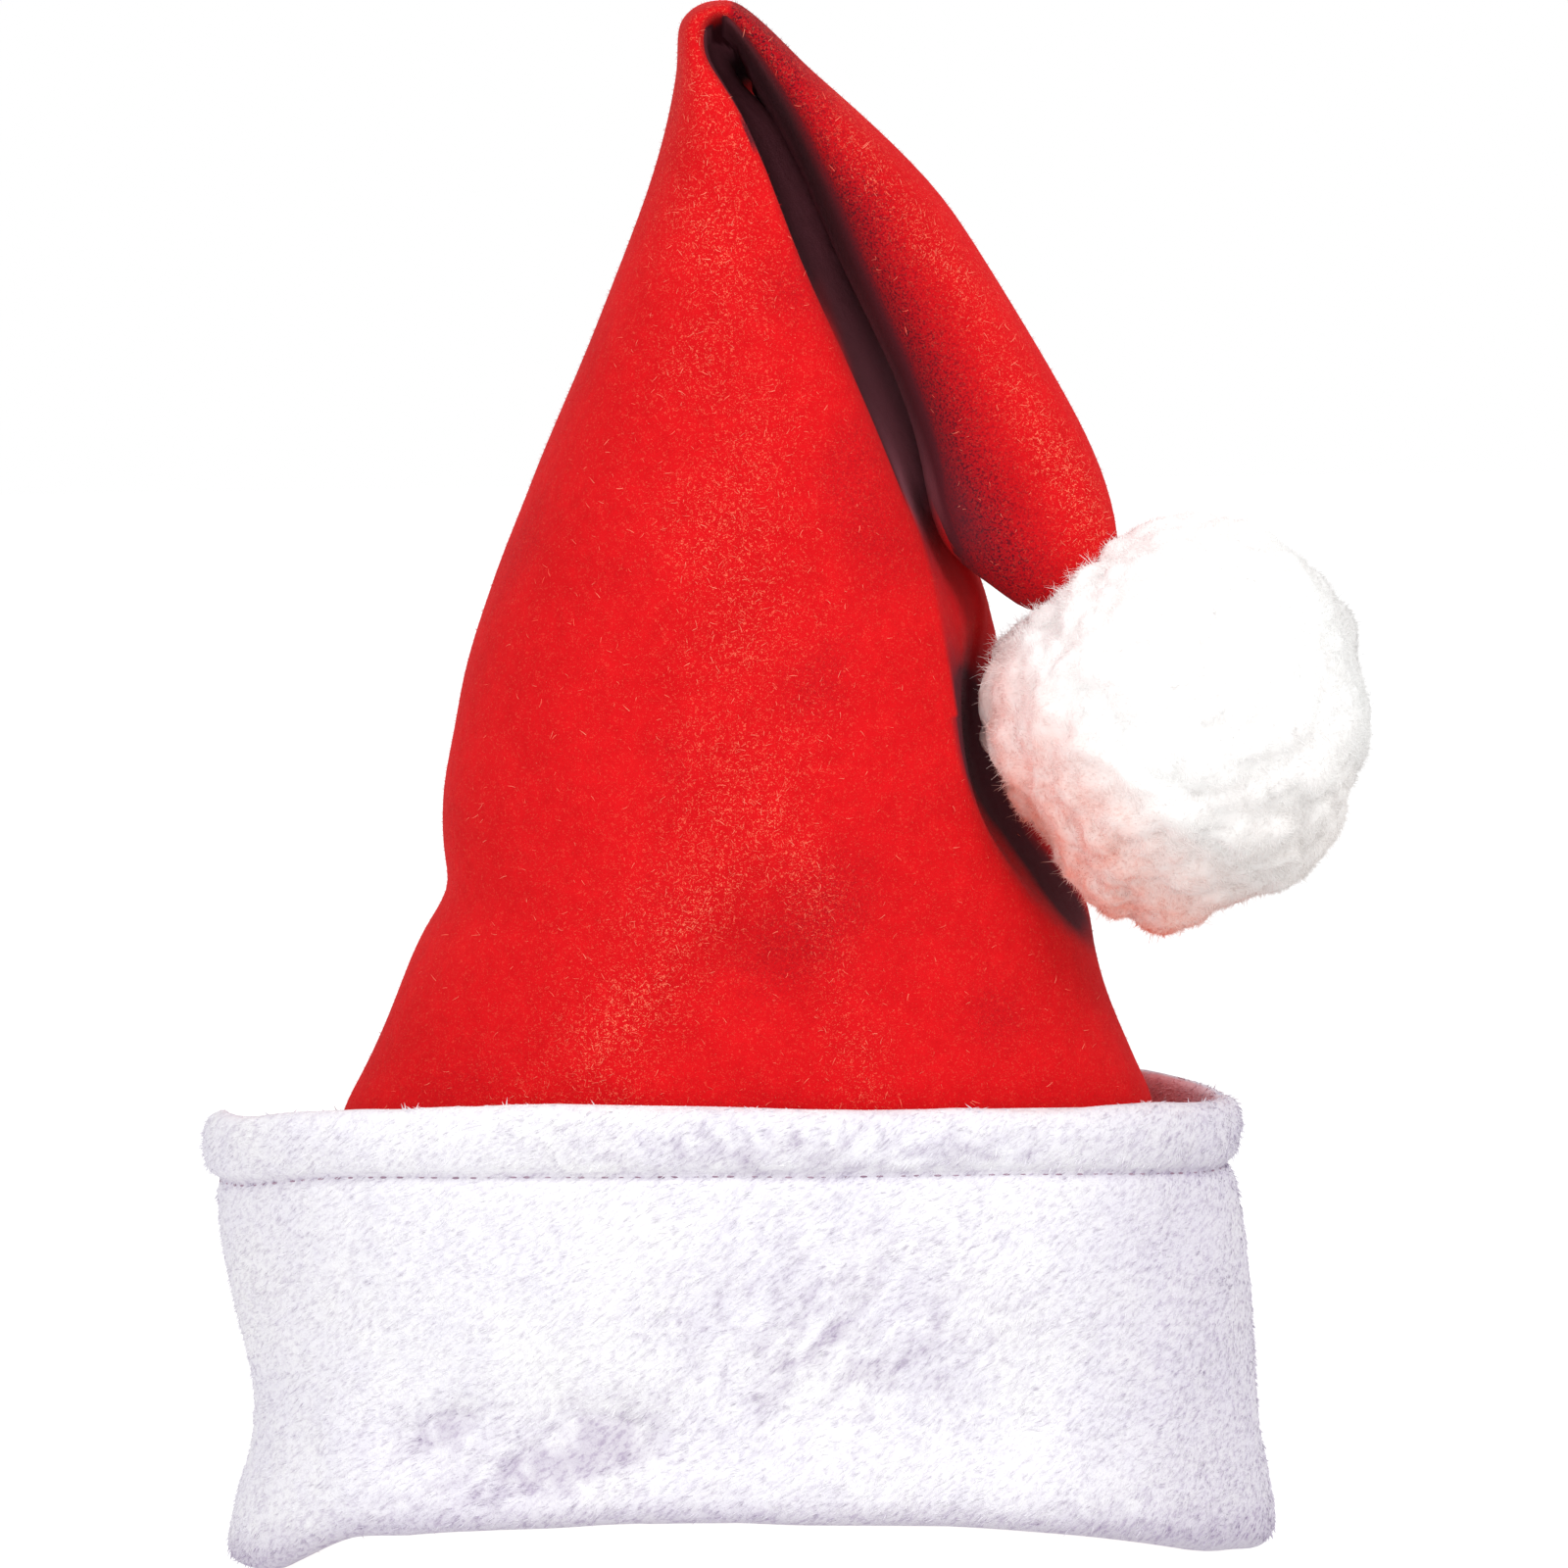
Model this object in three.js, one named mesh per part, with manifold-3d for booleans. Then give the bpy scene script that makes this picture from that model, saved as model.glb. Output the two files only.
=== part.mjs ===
// A santa hat: a red felt cone whose tip folds over at the peak and hangs down the right side to a
// woolly pompom, with a tall white fleecy cuff round the opening. Millimetres, +Z up, and the
// wearer's front is -Y. The hat stands on the two rounded ends of its cuff.

import * as THREE from 'three'
import { mergeVertices } from 'three/addons/utils/BufferGeometryUtils.js'
import Module from 'manifold-3d'

// Driving sizes of the cuff.
const cuffWidth = 242
const cuffDepth = 124
const cuffHeight = 103.5
const cuffWall = 4.6
const hemBulge = 1.9
const archHeight = 12.8
const archFade = 0.72
const restPress = 1.1
const rimDip = 6
const rimRise = 3

// Driving sizes of the crown, which stands inside the cuff.
const peakHeight = 357.5
const crownWidth = 188.5
const crownDepth = 108
const felt = 1.8
const foldSlack = 1
const foldRadius = 6.6
const foldOffset = 1.3
const pocketWidth = 22

// Driving sizes of the tail, from the peak down to the pompom.
const tailReach = 78
const tailDrop = 138.5
const tailWidth = 35
const tailDepth = 84
const tailForward = 18
const slotWidth = 9.5
const backGap = 1.5
const tipSlump = 26

// Driving sizes of the pompom.
const pompomRadius = 46
const pompomAside = 22
const pompomForward = 4
const pompomDrop = 27
const tuftHeight = 9
const tuftCount = 55
const nestClearance = 4

// What is left between two pieces that touch.
const seamGap = 0.3

// How finely the shells are divided.
const crownSides = 32
const cuffSides = 64
const crownSteps = 2
const tailSteps = 1

const radians = (degrees) => (degrees * Math.PI) / 180
const mix = (a, b, share) => a + (b - a) * share
const bell = (distance) => Math.exp(-distance * distance)

// The lower of two lengths, rounded off where they meet.
function softLower(a, b, blend) {
  const near = Math.max(blend - Math.abs(a - b), 0) / blend
  return Math.min(a, b) - (near * near * blend) / 4
}

// The rows of a table and smooth rows between them, each column by itself.
function smoothRows(rows, steps) {
  const out = []
  for (let i = 0; i < rows.length - 1; i++) {
    const near = [rows[Math.max(i - 1, 0)], rows[i], rows[i + 1], rows[Math.min(i + 2, rows.length - 1)]]
    for (let k = 0; k < steps; k++) {
      const row = {}
      for (const column of Object.keys(rows[i])) {
        const [a, b, c, d] = near.map((one) => one[column])
        const s = k / steps
        const low = Math.min(b, c)
        const high = Math.max(b, c)
        const smooth = b + 0.5 * s * (c - a + s * (2 * a - 5 * b + 4 * c - d + s * (3 * (b - c) + d - a)))
        row[column] = Math.min(Math.max(smooth, low), high)
      }
      out.push(row)
    }
  }
  out.push({ ...rows[rows.length - 1] })
  return out
}

// One point of a rounded section: t runs round it, u points to the section's right and v to its back.
// side is how far out it is, and backLeft and backRight how near it is to those two corners.
function ovalPoint(t, half, square) {
  const c = Math.cos(t)
  const s = Math.sin(t)
  const bend = 2 / square
  return {
    u: Math.sign(c) * Math.abs(c) ** bend * (c >= 0 ? half.right : half.left),
    v: Math.sign(s) * Math.abs(s) ** bend * (s >= 0 ? half.back : half.front),
    side: Math.abs(c) ** bend,
    right: c >= 0,
    backLeft: 2 * Math.max(-c, 0) * Math.max(s, 0),
    backRight: 2 * Math.max(c, 0) * Math.max(s, 0),
  }
}

const sideAngles = (sides) => Array.from({ length: sides }, (_, j) => (2 * Math.PI * j) / sides)

// The cuff's lower edge: each end rests on the table, and the edge rises from there to the middle
// of the front and the back. clear is the share of the half width where it leaves the table.
const archEnds = {
  left: { clear: 0.94, run: 0.12 },
  right: { clear: 0.945, run: 0.34 },
}

function archLift(side, right) {
  const end = right ? archEnds.right : archEnds.left
  return archHeight * (1 - Math.exp(-Math.max(0, end.clear - side) / end.run))
}

// How high a point of the cuff is, from its share of the height and its place round the oval. The
// rim dips at the back left, where the cuff sags, and stands higher at the back right.
function cuffLevel(height, point) {
  const lift = archLift(point.side, point.right) * (1 - archFade * height)
  const rim = (rimRise * point.backRight - rimDip * point.backLeft) * height ** 2
  return Math.max(height * cuffHeight + lift + rim - restPress * (1 - height), 0)
}

// The cuff's outer face from the table up: height is a share of cuffHeight, left and right of half
// cuffWidth, and depth of half cuffDepth. It flares at the foot, has a waist, is pinched by the
// seam, and ends in the hem.
const cuffRows = [
  { height: 0.0, left: 0.957, right: 0.99, depth: 0.965 },
  { height: 0.028, left: 0.975, right: 1.015, depth: 0.995 },
  { height: 0.075, left: 0.977, right: 1.028, depth: 1.0 },
  { height: 0.16, left: 0.957, right: 1.012, depth: 0.985 },
  { height: 0.26, left: 0.928, right: 0.997, depth: 0.955 },
  { height: 0.36, left: 0.92, right: 0.99, depth: 0.945 },
  { height: 0.48, left: 0.931, right: 0.987, depth: 0.955 },
  { height: 0.62, left: 0.96, right: 0.98, depth: 0.968 },
  { height: 0.76, left: 0.983, right: 0.968, depth: 0.972 },
  { height: 0.845, left: 0.984, right: 0.951, depth: 0.965 },
]

// The hem above the seam: height is a share of the hem's own height, and bulge of hemBulge.
const hemFoot = 0.858
const hemRows = [
  { height: 0.08, bulge: -0.1 },
  { height: 0.3, bulge: 0.75 },
  { height: 0.58, bulge: 1.0 },
  { height: 0.84, bulge: 0.7 },
  { height: 1.0, bulge: -0.5 },
]
const hemBase = { left: 0.996, right: 0.957, depth: 0.965 }
const hemInnerBulge = 0.3

// The heights of the cuff's inner rows, as shares of cuffHeight.
const innerHeights = [0, 0.028, 0.075, 0.16, 0.36, 0.62, 0.845]

// Soft hollows pressed into the cuff's lower left front. height is a share of cuffHeight, tall too,
// the angles are round the section from its right end, and press is a share of cuffWall.
const cuffDents = [
  { height: 0.3, angle: 234, press: 0.55, tall: 0.12, wide: 9 },
  { height: 0.2, angle: 250, press: 0.8, tall: 0.13, wide: 11 },
  { height: 0.33, angle: 305, press: 0.4, tall: 0.16, wide: 14 },
]

function cuffSizes(height) {
  const rows = cuffRows
  let i = 0
  while (i < rows.length - 2 && rows[i + 1].height < height) i++
  const share = Math.min(Math.max((height - rows[i].height) / (rows[i + 1].height - rows[i].height), 0), 1)
  return {
    left: (mix(rows[i].left, rows[i + 1].left, share) * cuffWidth) / 2,
    right: (mix(rows[i].right, rows[i + 1].right, share) * cuffWidth) / 2,
    depth: (mix(rows[i].depth, rows[i + 1].depth, share) * cuffDepth) / 2,
  }
}

function grown(sizes, grow) {
  const depth = sizes.depth + grow
  return { left: sizes.left + grow, right: sizes.right + grow, front: depth, back: depth }
}

const angleAway = (t, degrees) => Math.abs(((((t * 180) / Math.PI - degrees) % 360) + 540) % 360 - 180)

// A ring of the cuff at one height, its outer face grown by grow, which is less than 0 inside.
function cuffRing(sizes, height, grow, dented) {
  const half = grown(sizes, grow)
  return sideAngles(cuffSides).map((t) => {
    const p = ovalPoint(t, half, 2)
    let push = 0
    for (const dent of dented ? cuffDents : []) {
      const away = Math.hypot((height - dent.height) / dent.tall, angleAway(t, dent.angle) / dent.wide)
      push += dent.press * cuffWall * bell(away)
    }
    const out = Math.hypot(p.u, p.v)
    const level = cuffLevel(height, p)
    return new THREE.Vector3(p.u * (1 - push / out), p.v * (1 - push / out), level)
  })
}

function cuffRings() {
  const outer = cuffRows.map((row) => cuffRing(cuffSizes(row.height), row.height, 0, true))
  const inner = innerHeights.map((height) => cuffRing(cuffSizes(height), height, -cuffWall, false))
  const base = {
    left: (hemBase.left * cuffWidth) / 2,
    right: (hemBase.right * cuffWidth) / 2,
    depth: (hemBase.depth * cuffDepth) / 2,
  }
  const hemOuter = hemRows.map((row) =>
    cuffRing(base, mix(hemFoot, 1, row.height), row.bulge * hemBulge, false),
  )
  const hemInner = hemRows
    .slice(-2)
    .map((row) => {
      const inset = cuffWall + row.bulge * hemBulge * hemInnerBulge
      return cuffRing(base, mix(hemFoot, 1, row.height), -inset, false)
    })
  return [...outer, ...hemOuter, ...hemInner.reverse(), ...inner.reverse()]
}

// The crown below the cuff's rim: height is a share of cuffHeight, and left, right and depth say how
// far it stands off the cuff's inner face, as a share of pocketWidth.
const skirtRows = [
  { height: 0.028, left: 0.0, right: 0.0, depth: 0.0 },
  { height: 0.075, left: 0.0, right: 0.0, depth: 0.0 },
  { height: 0.16, left: 0.02, right: 0.02, depth: 0.02 },
  { height: 0.36, left: 0.1, right: 0.13, depth: 0.04 },
  { height: 0.62, left: 0.5, right: 0.33, depth: 0.08 },
  { height: 0.845, left: 0.9, right: 0.52, depth: 0.12 },
]

// The crown above the rim, in level sections: height is a share of peakHeight, left and right of
// half crownWidth, and depth of half crownDepth. square is 2 for an oval and more for a boxy one.
const crownRows = [
  { height: 0.29, left: 0.963, right: 1.037, depth: 0.975, square: 2.05 },
  { height: 0.333, left: 0.872, right: 0.96, depth: 0.97, square: 2.1 },
  { height: 0.386, left: 0.794, right: 0.893, depth: 0.98, square: 2.15 },
  { height: 0.43, left: 0.73, right: 0.872, depth: 0.98, square: 2.2 },
  { height: 0.498, left: 0.702, right: 0.796, depth: 0.97, square: 2.2 },
  { height: 0.579, left: 0.628, right: 0.703, depth: 0.95, square: 2.25 },
  { height: 0.64, left: 0.552, right: 0.608, depth: 0.93, square: 2.3 },
  { height: 0.712, left: 0.442, right: 0.535, depth: 0.9, square: 2.4 },
  { height: 0.772, left: 0.35, right: 0.45, depth: 0.87, square: 2.5 },
  { height: 0.834, left: 0.248, right: 0.4, depth: 0.84, square: 2.6 },
  { height: 0.912, left: 0.139, right: 0.23, depth: 0.81, square: 2.8 },
  { height: 0.963, left: 0.093, right: 0.0, depth: 0.79, square: 3.0 },
]

// Soft dents of the crown, with the same columns as the cuff's. press is a share of crownDepth.
const crownDents = [
  { height: 0.385, angle: 276, press: 0.055, tall: 0.05, wide: 21 },
  { height: 0.438, angle: 180, press: 0.026, tall: 0.02, wide: 42 },
  { height: 0.56, angle: 262, press: 0.018, tall: 0.06, wide: 16 },
]

// The tail, in sections that turn with it: across is a share of tailReach from the peak, down of
// tailDrop, turn is the section's own turn from level, half is half the width as a share of
// tailWidth, depth a share of half tailDepth, and forward of tailForward.
const tailRows = [
  { across: 0.125, down: 0.075, turn: 143, half: 0.11, depth: 0.96, forward: 0.06, square: 2.9 },
  { across: 0.202, down: 0.135, turn: 141, half: 0.145, depth: 0.88, forward: 0.2, square: 2.7 },
  { across: 0.3, down: 0.204, turn: 143, half: 0.22, depth: 0.8, forward: 0.38, square: 2.5 },
  { across: 0.468, down: 0.348, turn: 149, half: 0.385, depth: 0.68, forward: 0.6, square: 2.3 },
  { across: 0.563, down: 0.448, turn: 152, half: 0.42, depth: 0.62, forward: 0.68, square: 2.2 },
  { across: 0.665, down: 0.56, turn: 154, half: 0.45, depth: 0.57, forward: 0.73, square: 2.1 },
  { across: 0.774, down: 0.687, turn: 154, half: 0.485, depth: 0.52, forward: 0.78, square: 2.1 },
  { across: 0.868, down: 0.799, turn: 156, half: 0.5, depth: 0.45, forward: 0.85, square: 2.1 },
  { across: 0.94, down: 0.903, turn: 158, half: 0.47, depth: 0.38, forward: 0.93, square: 2.1 },
  { across: 1.01, down: 1.0, turn: 155, half: 0.32, depth: 0.28, forward: 1.0, square: 2.0 },
]

// Places a point of a section: u runs along the section's turned width, and v towards the back.
function placed(section, u, v) {
  const turn = radians(section.turn)
  return new THREE.Vector3(
    section.x + u * Math.cos(turn),
    section.y + v,
    section.z - u * Math.sin(turn),
  )
}

const tailSections = smoothRows(tailRows, tailSteps).map((row) => ({
  x: foldOffset + row.across * tailReach,
  y: -row.forward * tailForward,
  z: peakHeight - row.down * tailDrop,
  turn: row.turn,
  left: row.half * tailWidth,
  right: row.half * tailWidth,
  depth: (row.depth * tailDepth) / 2,
  square: row.square,
}))

const tailEnd = tailSections[tailSections.length - 1]

// The pompom hangs from the tail's end, out to the right and down.
const pompomCentre = new THREE.Vector3(
  tailEnd.x + pompomAside,
  tailEnd.y - pompomForward,
  tailEnd.z - pompomDrop,
)

// The fold at the peak: sections that turn round a bar across the hat, thinnest over the bar.
const foldTurns = [14, 36, 62, 90, 116]
const overBar = 90

function foldSections() {
  const thin = felt + foldSlack / 2
  const first = crownRows[crownRows.length - 1]
  const start = ((first.left + first.right) * crownWidth) / 4
  const last = tailSections[0]
  const out = []
  for (const turn of foldTurns) {
    const share = turn / foldTurns[foldTurns.length - 1]
    const half =
      turn < overBar
        ? mix(start, thin, turn / overBar)
        : mix(thin, last.left, (turn - overBar) / (last.turn - overBar))
    out.push({
      x: foldOffset - foldRadius * Math.cos(radians(turn)),
      y: 0,
      z: peakHeight - thin - foldRadius * (1 - Math.sin(radians(turn))),
      turn,
      left: half,
      right: half,
      depth: mix((first.depth * crownDepth) / 2, last.depth, share),
      square: first.square,
    })
  }
  return out
}

// The tail's inner face at one height: its nearest edge, its place and half depth front to back, and
// how far it rounds away from that edge.
function tailFace(z) {
  const faces = tailSections.map((section) => {
    const edge = placed(section, section.right, 0)
    const round = section.right * Math.abs(Math.cos(radians(section.turn)))
    return { x: edge.x, z: edge.z, y: section.y, depth: section.depth, round }
  })
  let i = 0
  while (i < faces.length - 2 && faces[i + 1].z > z) i++
  const share = Math.min(Math.max((faces[i].z - z) / (faces[i].z - faces[i + 1].z), 0), 1)
  const face = { lowest: faces[faces.length - 1].z }
  for (const column of ['x', 'y', 'depth', 'round']) {
    face[column] = mix(faces[i][column], faces[i + 1][column], share)
  }
  return face
}

// How far right the crown may reach beside the tail and the pompom. Beside the tail and in front of it
// the crown leaves a slot that almost closes towards the back, and behind the tail it is free. Round the
// pompom it leaves a nest. release is how fast it comes free behind the tail, and slotCloses says
// between which shares of the tail's half depth the slot narrows.
const release = 4
const nestBlend = 5
const slotCloses = { from: -0.4, to: 0.8 }

function rightLimit(y, z) {
  const face = tailFace(z)
  const back = (y - face.y) / face.depth
  const level = Math.min(Math.max(back, 0), 1)
  const rounding = face.round * (1 - Math.sqrt(1 - level * level) + release * Math.max(back - 1, 0))
  const slot = mix(slotWidth, backGap, THREE.MathUtils.smoothstep(back, slotCloses.from, slotCloses.to))
  const valley = face.x + rounding - slot + Math.max(face.lowest - z, 0)
  const away = (y - pompomCentre.y) ** 2 + (z - pompomCentre.z) ** 2
  const nest = pompomCentre.x - pompomRadius - nestClearance + away / (2 * pompomRadius)
  return softLower(valley, nest, nestBlend)
}

// The folded tip slumps towards the back. low and high are shares of peakHeight between which the
// slump grows, and front is how far in front of the middle it starts, as a share of tailDepth.
const slump = { low: 0.66, high: 0.963, front: 0.25 }

function slumped(point) {
  const high = THREE.MathUtils.smoothstep(point.z / peakHeight, slump.low, slump.high)
  const back = Math.max(point.y / tailDepth + slump.front, 0)
  return new THREE.Vector3(point.x, point.y, point.z - tipSlump * high * back)
}

// How far a point of the crown is moved by the dents, and by what hangs against its right side.
function crownPush(t, x, y, z) {
  const height = z / peakHeight
  let inward = 0
  for (const dent of crownDents) {
    const away = Math.hypot((height - dent.height) / dent.tall, angleAway(t, dent.angle) / dent.wide)
    inward += dent.press * crownDepth * bell(away)
  }
  const limit = Math.cos(t) > 0 ? rightLimit(y, z) : x + nestBlend
  return { inward, aside: softLower(x, limit, nestBlend) - x }
}

// The crown's sections, from the foot inside the cuff to the last level one under the fold.
function standingSections() {
  const skirt = skirtRows.map((row) => {
    const sizes = cuffSizes(row.height)
    const inset = cuffWall + seamGap
    return {
      height: row.height,
      z: row.height * cuffHeight,
      middle: 0,
      left: sizes.left - inset - row.left * pocketWidth,
      right: sizes.right - inset - row.right * pocketWidth,
      depth: sizes.depth - inset - row.depth * pocketWidth,
      square: 2,
    }
  })
  const above = smoothRows(crownRows, crownSteps).map((row) => ({
    height: 1,
    middle: ((row.right - row.left) * crownWidth) / 4,
    z: row.height * peakHeight,
    left: (row.left * crownWidth) / 2,
    right: (row.right * crownWidth) / 2,
    depth: (row.depth * crownDepth) / 2,
    square: row.square,
  }))
  return [...skirt, ...above]
}

// One ring of the crown, its wall thinned by inset for the inner face.
function standingRing(section, inset) {
  const middle = section.middle
  const sizes = { left: section.left + middle, right: section.right - middle, depth: section.depth }
  const outerHalf = grown(sizes, 0)
  const half = grown(sizes, -inset)
  return sideAngles(crownSides).map((t) => {
    const outer = ovalPoint(t, outerHalf, section.square)
    const p = ovalPoint(t, half, section.square)
    const inCuff = section.height < 1
    const z = inCuff ? cuffLevel(section.height, outer) : section.z
    const push = inCuff ? { inward: 0, aside: 0 } : crownPush(t, middle + outer.u, outer.v, z)
    const reach = Math.hypot(outer.u, outer.v)
    return new THREE.Vector3(
      middle + p.u - (push.inward * outer.u) / reach + push.aside,
      p.v - (push.inward * outer.v) / reach,
      z,
    )
  })
}

function turnedRing(section, inset) {
  const half = {
    left: section.left - inset,
    right: section.right - inset,
    front: section.depth - inset,
    back: section.depth - inset,
  }
  return sideAngles(crownSides).map((t) => {
    const p = ovalPoint(t, half, section.square)
    return placed(section, p.u, p.v)
  })
}

function crownRings(inset) {
  const rings = [
    ...standingSections().map((section) => standingRing(section, inset)),
    ...foldSections().map((section) => turnedRing(section, inset)),
    ...tailSections.map((section) => turnedRing(section, inset)),
  ]
  return rings.map((ring) => ring.map(slumped))
}

// Collects rings of points and joins them with triangles.
class Skin {
  constructor() {
    this.points = []
    this.triangles = []
  }

  ring(points) {
    const first = this.points.length
    this.points.push(...points)
    return points.map((_, j) => first + j)
  }

  band(low, high) {
    const n = low.length
    for (let j = 0; j < n; j++) {
      const k = (j + 1) % n
      this.triangles.push([low[j], low[k], high[k]], [low[j], high[k], high[j]])
    }
  }

  lid(ring, upward) {
    const middle = ring.reduce((sum, i) => sum.add(this.points[i]), new THREE.Vector3())
    const [centre] = this.ring([middle.divideScalar(ring.length)])
    ring.forEach((a, j) => {
      const b = ring[(j + 1) % ring.length]
      this.triangles.push(upward ? [a, b, centre] : [b, a, centre])
    })
  }

  geometry() {
    const geometry = new THREE.BufferGeometry()
    const flat = this.points.flatMap((p) => [p.x, p.y, p.z])
    geometry.setAttribute('position', new THREE.Float32BufferAttribute(flat, 3))
    geometry.setIndex(this.triangles.flat())
    return geometry
  }
}

// The crown is one shell of felt: an outer face, an inner one, and the raw edge at the foot.
function crownGeometry() {
  const skin = new Skin()
  const outer = crownRings(0).map((points) => skin.ring(points))
  const inner = crownRings(felt).slice(0, -1).map((points) => skin.ring(points))
  for (let i = 0; i + 1 < outer.length; i++) skin.band(outer[i], outer[i + 1])
  for (let i = 0; i + 1 < inner.length; i++) skin.band(inner[i + 1], inner[i])
  skin.lid(outer[outer.length - 1], true)
  skin.lid(inner[inner.length - 1], false)
  skin.band(inner[0], outer[0])
  return skin.geometry()
}

// The crown without its hollow, grown all round, to cut a neighbour by.
function crownBody(grow) {
  const skin = new Skin()
  const rings = crownRings(-grow)
  const outer = rings.map((points) => skin.ring(points))
  for (let i = 0; i + 1 < outer.length; i++) skin.band(outer[i], outer[i + 1])
  skin.lid(outer[outer.length - 1], true)
  skin.lid(outer[0], false)
  return skin.geometry()
}

// The cuff's rings run up its outer face and down its inner one, and the last joins the first.
function cuffGeometry() {
  const skin = new Skin()
  const rings = cuffRings().map((points) => skin.ring(points))
  rings.forEach((ring, i) => skin.band(ring, rings[(i + 1) % rings.length]))
  return skin.geometry()
}

const wasm = await Module()
wasm.setup()

function solidOf(geometry) {
  const bare = geometry.clone()
  for (const name of Object.keys(bare.attributes)) if (name !== 'position') bare.deleteAttribute(name)
  const merged = mergeVertices(bare, 1e-4)
  const index = merged.index.array
  const kept = []
  for (let i = 0; i < index.length; i += 3) {
    const [a, b, c] = [index[i], index[i + 1], index[i + 2]]
    if (a !== b && b !== c && c !== a) kept.push(a, b, c)
  }
  return new wasm.Manifold(
    new wasm.Mesh({
      numProp: 3,
      vertProperties: new Float32Array(merged.attributes.position.array),
      triVerts: new Uint32Array(kept),
    }),
  )
}

function geometryOf(solid) {
  const mesh = solid.getMesh()
  const geometry = new THREE.BufferGeometry()
  geometry.setAttribute('position', new THREE.Float32BufferAttribute(mesh.vertProperties, 3))
  geometry.setIndex([...mesh.triVerts])
  return geometry
}

// A share between 0 and 1 that looks random, the same one each time for the same tuft and trait.
const scatter = (i, trait) => {
  const value = Math.sin(i * 127.1 + trait * 311.7) * 43758.5453
  return value - Math.floor(value)
}

// One tuft of yarn: a blunt five-sided lock that stands along +Y from its root in the head.
const tuftProfile = [
  { across: 0, along: 0 },
  { across: 1, along: 0.42 },
  { across: 0.62, along: 0.86 },
  { across: 0, along: 1 },
]

const tuftSides = 5
const tuftRoot = 1.82
const tuftLean = 0.45

function tuft(i) {
  const level = 1 - (2 * (i + 0.5)) / tuftCount
  const round = i * Math.PI * (3 - Math.sqrt(5))
  const flat = Math.sqrt(1 - level * level)
  const out = new THREE.Vector3(flat * Math.cos(round), flat * Math.sin(round), level)
  const head = pompomRadius - tuftHeight
  const spacing = head * Math.sqrt((4 * Math.PI) / tuftCount)
  const length = tuftHeight * mix(1.75, 2.05, scatter(i, 1))
  const width = spacing * mix(0.5, 0.62, scatter(i, 2))
  const points = tuftProfile.map((p) => new THREE.Vector2(p.across * width, p.along * length))
  const lock = new THREE.LatheGeometry(points, tuftSides)
  const lean = new THREE.Vector3(scatter(i, 3) - 0.5, scatter(i, 4) - 0.5, scatter(i, 5) - 0.6)
  const aim = out.clone().addScaledVector(lean, tuftLean).normalize()
  lock.rotateY(scatter(i, 6) * Math.PI)
  lock.applyQuaternion(new THREE.Quaternion().setFromUnitVectors(new THREE.Vector3(0, 1, 0), aim))
  const root = out.multiplyScalar(pompomRadius - tuftHeight * tuftRoot)
  lock.translate(root.x, root.y, root.z)
  return solidOf(lock)
}

// The pompom is a woolly head with its tufts grown into it, cut where the tail's end and the crown
// press into it.
function pompomGeometry() {
  const head = solidOf(new THREE.IcosahedronGeometry(pompomRadius - tuftHeight, 3))
  const ball = Array.from({ length: tuftCount }, (_, i) => tuft(i)).reduce((sum, one) => sum.add(one), head)
  const hung = geometryOf(ball).translate(pompomCentre.x, pompomCentre.y, pompomCentre.z)
  return geometryOf(solidOf(hung).subtract(solidOf(crownBody(seamGap))))
}

const redFelt = new THREE.MeshStandardMaterial({ color: 0xe81f2a, roughness: 0.95, metalness: 0 })
const whiteFleece = new THREE.MeshStandardMaterial({ color: 0xf1eef6, roughness: 1, metalness: 0 })
const whiteWool = new THREE.MeshStandardMaterial({ color: 0xfbf7f5, roughness: 1, metalness: 0 })

function piece(name, geometry, material) {
  const mesh = new THREE.Mesh(geometry, material)
  mesh.name = name
  return mesh
}

const hat = new THREE.Group()
hat.add(
  piece('crown', crownGeometry(), redFelt),
  piece('cuff', cuffGeometry(), whiteFleece),
  piece('pompom', pompomGeometry(), whiteWool),
)

// The origin is on the table, under the middle of the whole hat.
const box = new THREE.Box3().setFromObject(hat)
const centre = box.getCenter(new THREE.Vector3())
hat.position.set(-centre.x, -centre.y, -box.min.z)

export default hat
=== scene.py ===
# %% [markdown]
# # A santa hat
# The hat is three pieces: a cone of red felt with its tip folded over, a tall white fleecy cuff, and
# a woolly pompom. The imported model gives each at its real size, and this script dresses them. Lengths
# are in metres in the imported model's frame, and small ones are a number of millimetres times MM.

# %% The frame
import math

import bpy
import numpy as np
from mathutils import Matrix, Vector, noise
from mathutils.bvhtree import BVHTree


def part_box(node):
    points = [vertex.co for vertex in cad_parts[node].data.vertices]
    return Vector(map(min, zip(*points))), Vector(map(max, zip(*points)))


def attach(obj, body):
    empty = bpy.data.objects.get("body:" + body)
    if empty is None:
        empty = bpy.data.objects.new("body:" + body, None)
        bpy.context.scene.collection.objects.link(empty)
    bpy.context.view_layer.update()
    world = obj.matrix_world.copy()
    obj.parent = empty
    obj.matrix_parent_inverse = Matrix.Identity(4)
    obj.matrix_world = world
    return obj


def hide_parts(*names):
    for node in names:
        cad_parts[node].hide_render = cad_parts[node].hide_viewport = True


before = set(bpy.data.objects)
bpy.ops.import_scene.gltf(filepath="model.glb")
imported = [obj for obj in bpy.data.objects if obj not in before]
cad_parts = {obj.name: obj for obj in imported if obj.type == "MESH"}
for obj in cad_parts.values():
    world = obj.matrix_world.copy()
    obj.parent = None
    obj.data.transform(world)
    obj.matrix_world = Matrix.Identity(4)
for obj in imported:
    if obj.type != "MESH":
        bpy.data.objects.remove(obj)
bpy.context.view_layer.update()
MM = 0.001
crown_low, crown_high = (np.array(corner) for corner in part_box("crown"))
cuff_low, cuff_high = (np.array(corner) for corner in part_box("cuff"))
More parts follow.
